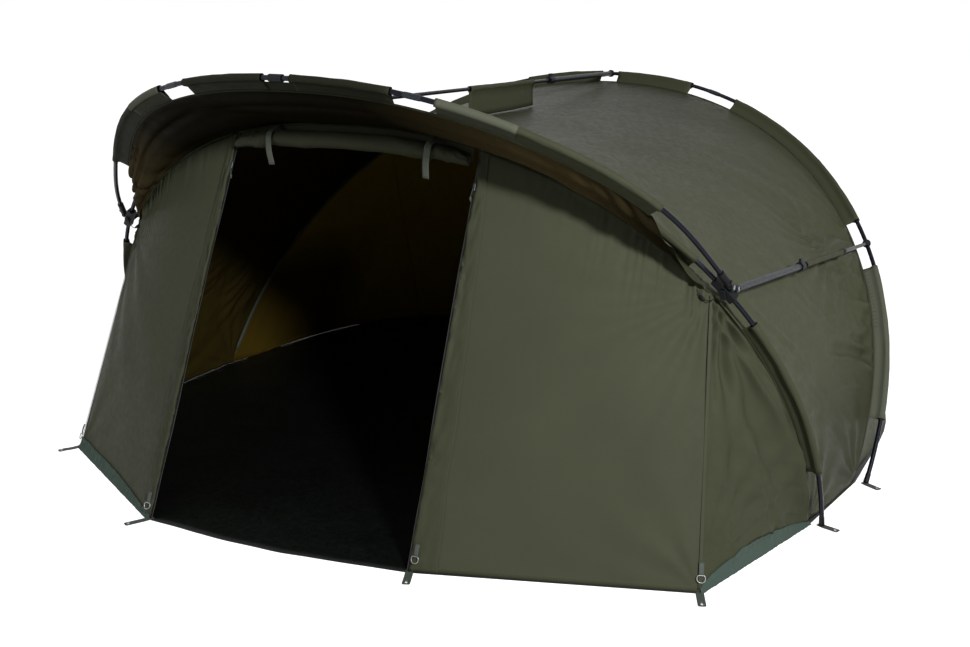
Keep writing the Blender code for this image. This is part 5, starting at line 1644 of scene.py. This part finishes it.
def make_mud_strips():
    for side in SIDES:
        wing = surfaces[side_name("wing", side)].transpose(1, 0, 2)[:, ::-1]
        make_mud_strip(side_name("wing_strip", side), wing, (0.008, 0.012, 0.036), "root", 131)
    make_mud_strip("front_strip_left", surfaces["front_left"], (0.042, 0.012, 0.010), "root", 133, True)
    back = surfaces["back_wall"][BACK_STRIP_FROM:-BACK_STRIP_FROM]
    make_mud_strip("back_strip", back, (0.03, 0.03, 0.0), "rear_rib", 135)


# Patches, seams and stitched ticks


PATCH_SPAN_X = (0.532, 0.76)
PATCH_DEPTH = 0.040
PATCH_WRAP = math.radians(150)
GUSSET_TOP = 0.017
TICK_COUNT = 16
TICK_STEP = 0.016
TICK_SIZE = (0.016, 0.0022, 0.0008)
TICK_DEPTH = 0.032
TICK_OUT = 0.0026
PATCH_LIFT = 0.0016
FIN_OUT = 0.0032
# Width of each taped seam, and how far it lies off the line that it follows
SEAM_TAPE = (0.011, 0.006)
SEAM_TAPE_INSIDE = (0.011, 0.007)
CORNER_TAPE = (0.012, 0.0022)
BINDING_TAPE = (0.016, 0.004)
TENT_MIDDLE = Vector((0, 0.3, 0.6))
BACK_SEAM = 9 * FINE


def make_sleeve_patch(name, first, last):
    """A paler reinforcement over the top of the peak's sleeve."""
    rows = []
    size = SLEEVE_RADIUS + PATCH_LIFT
    for one in stretch(PEAK_FRAMES, first, last):
        row = [
            one.centre + one.out * size * max(math.cos(angle), -0.55) + one.side * size * math.sin(angle)
            for angle in spread(-PATCH_WRAP, PATCH_WRAP, 14)
        ]
        low = one.centre - one.out * PATCH_DEPTH
        rows.append([low + one.side * -FIN_OUT] + row + [low + one.side * FIN_OUT])
    points = as_grid(rows)
    ends = from_ends(lengths(points, 0), 0)
    thin_piece(name, points, ends, "patch", SLEEVE_THICK, "sleeve_cloth", "peak_rib")


def make_ticks(side, top):
    """Short bars of stitching down the rear sleeve's fin, on both of its faces."""
    frames = side_line(side, REAR_FRAMES)
    bm = bmesh.new()
    spot = top
    for _ in range(TICK_COUNT):
        low = int(spot)
        spot -= TICK_STEP / (frames[low + 1].centre - frames[low].centre).length
        one = stretch(frames, spot, spot + 0.3)[0]
        following = stretch(frames, spot + 0.05, spot + 0.3)[0]
        way = (following.centre - one.centre).normalized()
        deep, long, thick = TICK_SIZE
        for face in SIDES:
            matrix = Matrix([one.out * deep, way * long, one.side * thick]).transposed().to_4x4()
            matrix.translation = one.centre - one.out * TICK_DEPTH + one.side * face * TICK_OUT
            bmesh.ops.create_cube(bm, size=1, matrix=matrix)
    place(mesh_from(side_name("rear_ticks", side), bm, "tie", False), "sleeve_cloth", "rear_rib")


def make_patches():
    first, last = at_width(PEAK_FRAMES, PATCH_SPAN_X[1]), at_width(PEAK_FRAMES, PATCH_SPAN_X[0])
    for side, span in zip(SIDES, mirrored(first, last, 2 * UPPER)):
        make_sleeve_patch(side_name("sleeve_patch", side), *span)
    half = UPPER - at_width(PEAK_FRAMES, CENTRE_WINDOW_HALF)
    points = as_grid([
        [one.centre - one.out * deep for deep in spread(GUSSET_TOP, PEAK_SLEEVE_DEPTH, 6)]
        for one in stretch(PEAK_FRAMES, UPPER - half - 0.6, UPPER + half + 0.6)
    ])
    thin_piece("peak_gusset", points, lengths(points, 1), "peak_sleeve", SLEEVE_THICK, "sleeve_cloth",
               "peak_rib")
    for side in SIDES:
        make_ticks(side, at_reach(REAR_FRAMES, REAR, REAR_TEE_REACH - REAR_TEE_WINDOW / 2))


def seam_tape(name, points, facing, body, look, size):
    """A taped seam along a line on the cloth; size is its width and its lift off the line."""
    width, lift = size
    path, sides = [], []
    for i, point in enumerate(points):
        run = (points[min(i + 1, len(points) - 1)] - points[max(i - 1, 0)]).normalized()
        out = facing(point)
        side = run.cross(out).normalized()
        up = side.cross(run)
        path.append(point + up.normalized() * -lift * (1 if out.dot(up) < 0 else -1))
        sides.append(side)
    far = np.full((len(path), RIBBON_COLUMNS), FAR_OFF)
    ribbon(name, path, sides, width, EDGE_THICK, look, "canopy_cloth", body, far)


def make_seams():
    """Felled seams down the back wall and at the front corners, and the tape inside the rear seam."""
    for side in SIDES:
        low = BACK_SEAM if side > 0 else 2 * TOP - BACK_SEAM
        line = [grid_spot(surfaces["back_wall"], low, s) for s in spread(0.01, 0.995, 40)]
        seam_tape(side_name("back_seam", side), line, lambda p: p - TENT_MIDDLE, "rear_rib",
                  "canopy", SEAM_TAPE)
        seam_tape(side_name("back_seam_inner", side), line, lambda p: TENT_MIDDLE - p, "rear_rib",
                  "inside_back", SEAM_TAPE_INSIDE)
        knee, foot = side_line(side, MAIN_SEAM)[LOWER], corner_foot(side)
        line = [knee.lerp(foot, s) for s in spread(0.01, 0.99, 40)]
        seam_tape(side_name("corner_seam", side), line, lambda p: Vector((p.x, -1.6, 0)), "root",
                  "front", CORNER_TAPE)
        inner = REAR_SEAM[2:LOWER + 30] if side > 0 else REAR_SEAM[-LOWER - 30:-2]
        seam_tape(side_name("rear_seam_binding", side), inner, lambda p: TENT_MIDDLE - p, "rear_rib",
                  "web", BINDING_TAPE)


# Small moulded and metal pieces


FERRULE_HALF = 0.028
FERRULE_RADIUS = 0.0094
FERRULE_TAPER = 0.0012
CAP_LENGTH = 0.034
CAP_RADIUS = 0.0098
CAP_TAPER = 0.0008
CLIP_LENGTH = 0.022
CLIP_RADIUS = 0.0118
CLIP_SWELL = 0.0012
CLIP_GAP = 0.006
ELASTIC_RADIUS = 0.0014
TOGGLE_RADIUS = 0.0034
TOGGLE_SWELL = 0.0016
TOGGLE_AT = 9
TOGGLE_STEPS = 6


def barrel(radius, swell):
    """The radius along a round piece that is thickest in its middle."""
    return lambda share: radius + swell * math.sin(math.pi * share)


def make_pole_caps():
    """Rubber feet on the four pole ends."""
    for side in SIDES:
        for base, frames, body in (("main", MAIN_FRAMES, "root"), ("rear", REAR_FRAMES, "rear_rib")):
            foot, following = centres(side_line(side, frames)[:2])
            way = (following - foot).normalized()
            path = [foot + way * (0.0008 + CAP_LENGTH * s) for s in spread(0, 1, 5)]
            round_piece(side_name(base + "_foot_cap", side), path, lambda s: CAP_RADIUS - CAP_TAPER * s,
                        "nylon", 18, "moulded_plastic", body)


def make_ferrules():
    """The thicker swaged joints between lengths of pole, in the sleeves' side windows."""
    for base, frames, window, body in (
        ("peak_joint", PEAK_FRAMES, PEAK_WINDOW_X, "peak_rib"),
        ("rear_joint", REAR_FRAMES, REAR_SIDE_WINDOW_X, "rear_rib"),
    ):
        spot = at_width(frames, sum(window) / 2)
        for side, here in ((1, spot), (-1, len(frames) - 1 - spot)):
            centre = stretch(frames, here, here + 0.4)[0].centre
            nearby = stretch(frames, here + 0.2, here + 0.5)[0].centre
            way = (nearby - centre).normalized()
            path = [centre + way * FERRULE_HALF * s for s in spread(-1, 1, 14)]
            round_piece(side_name(base, side), path,
                        lambda s: FERRULE_RADIUS - FERRULE_TAPER * abs(2 * s - 1) ** 8,
                        "bar", 18, "pole_metal", body)


def make_hub_elastics():
    """A shock cord with a toggle, from the front panel's corner up to the hub's clip."""
    for side in SIDES:
        clip = Vector([(a + b) / 2 for a, b in zip(*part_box(side_name("corner_clip", side)))])
        start = Vector((clip.x - side * 0.021, clip.y - 0.004, clip.z - 0.012))
        end = side_line(side, MAIN_SEAM)[LOWER + 3] + Vector((0, -0.008, -0.03))
        sag = Vector((0, -0.006, -0.018))
        path = [start.lerp(end, s) + sag * math.sin(math.pi * s) for s in spread(0, 1, 18)]
        round_piece(side_name("hub_elastic", side), path, ELASTIC_RADIUS, "nylon", 8, "webbing", "root")
        round_piece(side_name("hub_toggle", side), path[TOGGLE_AT:TOGGLE_AT + TOGGLE_STEPS],
                    barrel(TOGGLE_RADIUS, TOGGLE_SWELL), "nylon", 12, "moulded_plastic", "root")


def make_cover_clips():
    """The moulded ring that ends each side bar's cover."""
    for side in SIDES:
        start, way = side_bar(side)
        at = start + way * (SIDE_COVER_SPAN[1] + CLIP_GAP)
        path = [at + way * CLIP_LENGTH * s for s in spread(0, 1, 8)]
        round_piece(side_name("cover_clip", side), path, barrel(CLIP_RADIUS, CLIP_SWELL),
                    "nylon", 18, "moulded_plastic", side_name("side_rod", side))


# Stage, light and camera


GROUND_SIZE = 60
WORLD_LIGHT = 0.085
FLOOR_GLOW = 0.95
FLOOR_GREY = 0.5
CAMERA_PLACE = Vector((2.408, -4.1065, 1.675))
CAMERA_YAW = math.radians(-30.53)
CAMERA_PITCH = math.radians(-14.86)
CAMERA_LENS = 45.22


def seen_directly(tree):
    """One for the rays that show the surround itself, none for those that carry its light."""
    path = node(tree, "ShaderNodeLightPath").outputs
    bounced = maths(tree, "MAXIMUM", path["Is Glossy Ray"], path["Is Transmission Ray"])
    return maths(tree, "MAXIMUM", path["Is Camera Ray"], bounced)


def make_stage():
    """A pale floor and an even white surround."""
    bpy.ops.mesh.primitive_plane_add(size=GROUND_SIZE)
    ground = bpy.context.object
    ground.name = "studio_floor"
    made, tree, shader = nodes_of("studio_floor", (FLOOR_GREY,) * 3, 0.9)
    shader.inputs["Emission Color"].default_value = (1, 1, 1, 1)
    wire(tree, shader, Emission_Strength=maths(tree, "MULTIPLY", seen_directly(tree), FLOOR_GLOW))
    ground.data.materials.append(made)
    world = bpy.data.worlds.new("studio")
    bpy.context.scene.world = world
    world.use_nodes = True
    tree = world.node_tree
    background = tree.nodes["Background"]
    wire(tree, background, Strength=ranged(tree, seen_directly(tree), 0, 1, WORLD_LIGHT, 1.0))
    background.inputs["Color"].default_value = (1, 1, 1, 1)


def lamp(name, spot, aim, size, power):
    light = bpy.data.lights.new(name, "AREA")
    light.shape = "DISK"
    light.size = size
    light.energy = power
    obj = shown(name, light)
    obj.location = spot
    obj.rotation_euler = (Vector(aim) - Vector(spot)).to_track_quat("-Z", "Y").to_euler()


def make_camera():
    data = bpy.data.cameras.new("camera")
    data.lens = CAMERA_LENS
    data.sensor_width = 36
    camera = shown("camera", data)
    flat = math.cos(CAMERA_PITCH)
    way = Vector((math.sin(CAMERA_YAW) * flat, math.cos(CAMERA_YAW) * flat, math.sin(CAMERA_PITCH)))
    right = Vector((math.cos(CAMERA_YAW), -math.sin(CAMERA_YAW), 0))
    turn = Matrix([right, right.cross(way), -way]).transposed().to_4x4()
    camera.matrix_world = Matrix.Translation(CAMERA_PLACE) @ turn
    bpy.context.scene.camera = camera
    bpy.context.scene.view_settings.view_transform = "Standard"


make_camera()
make_stage()
lamp("key", (5.4, -4.6, 4.0), (0.5, -0.5, 0.6), 0.8, 590)
lamp("fill", (-4.5, -5.0, 2.6), (0, -0.8, 0.8), 2.5, 60)
make_canopy()
make_back()
make_peak()
for hand in SIDES:
    make_front(hand)
make_floor()
make_sleeves()
make_welts()
make_poles()
make_covers()
make_rolled_door()
make_roll_ties()
for hand in SIDES:
    make_door_edge(hand)
make_pullers()
make_straps()
make_corner_rings()
make_mud_strips()
make_patches()
make_seams()
make_pole_caps()
make_ferrules()
make_hub_elastics()
make_cover_clips()
finish_nodes()
declare_sheets()
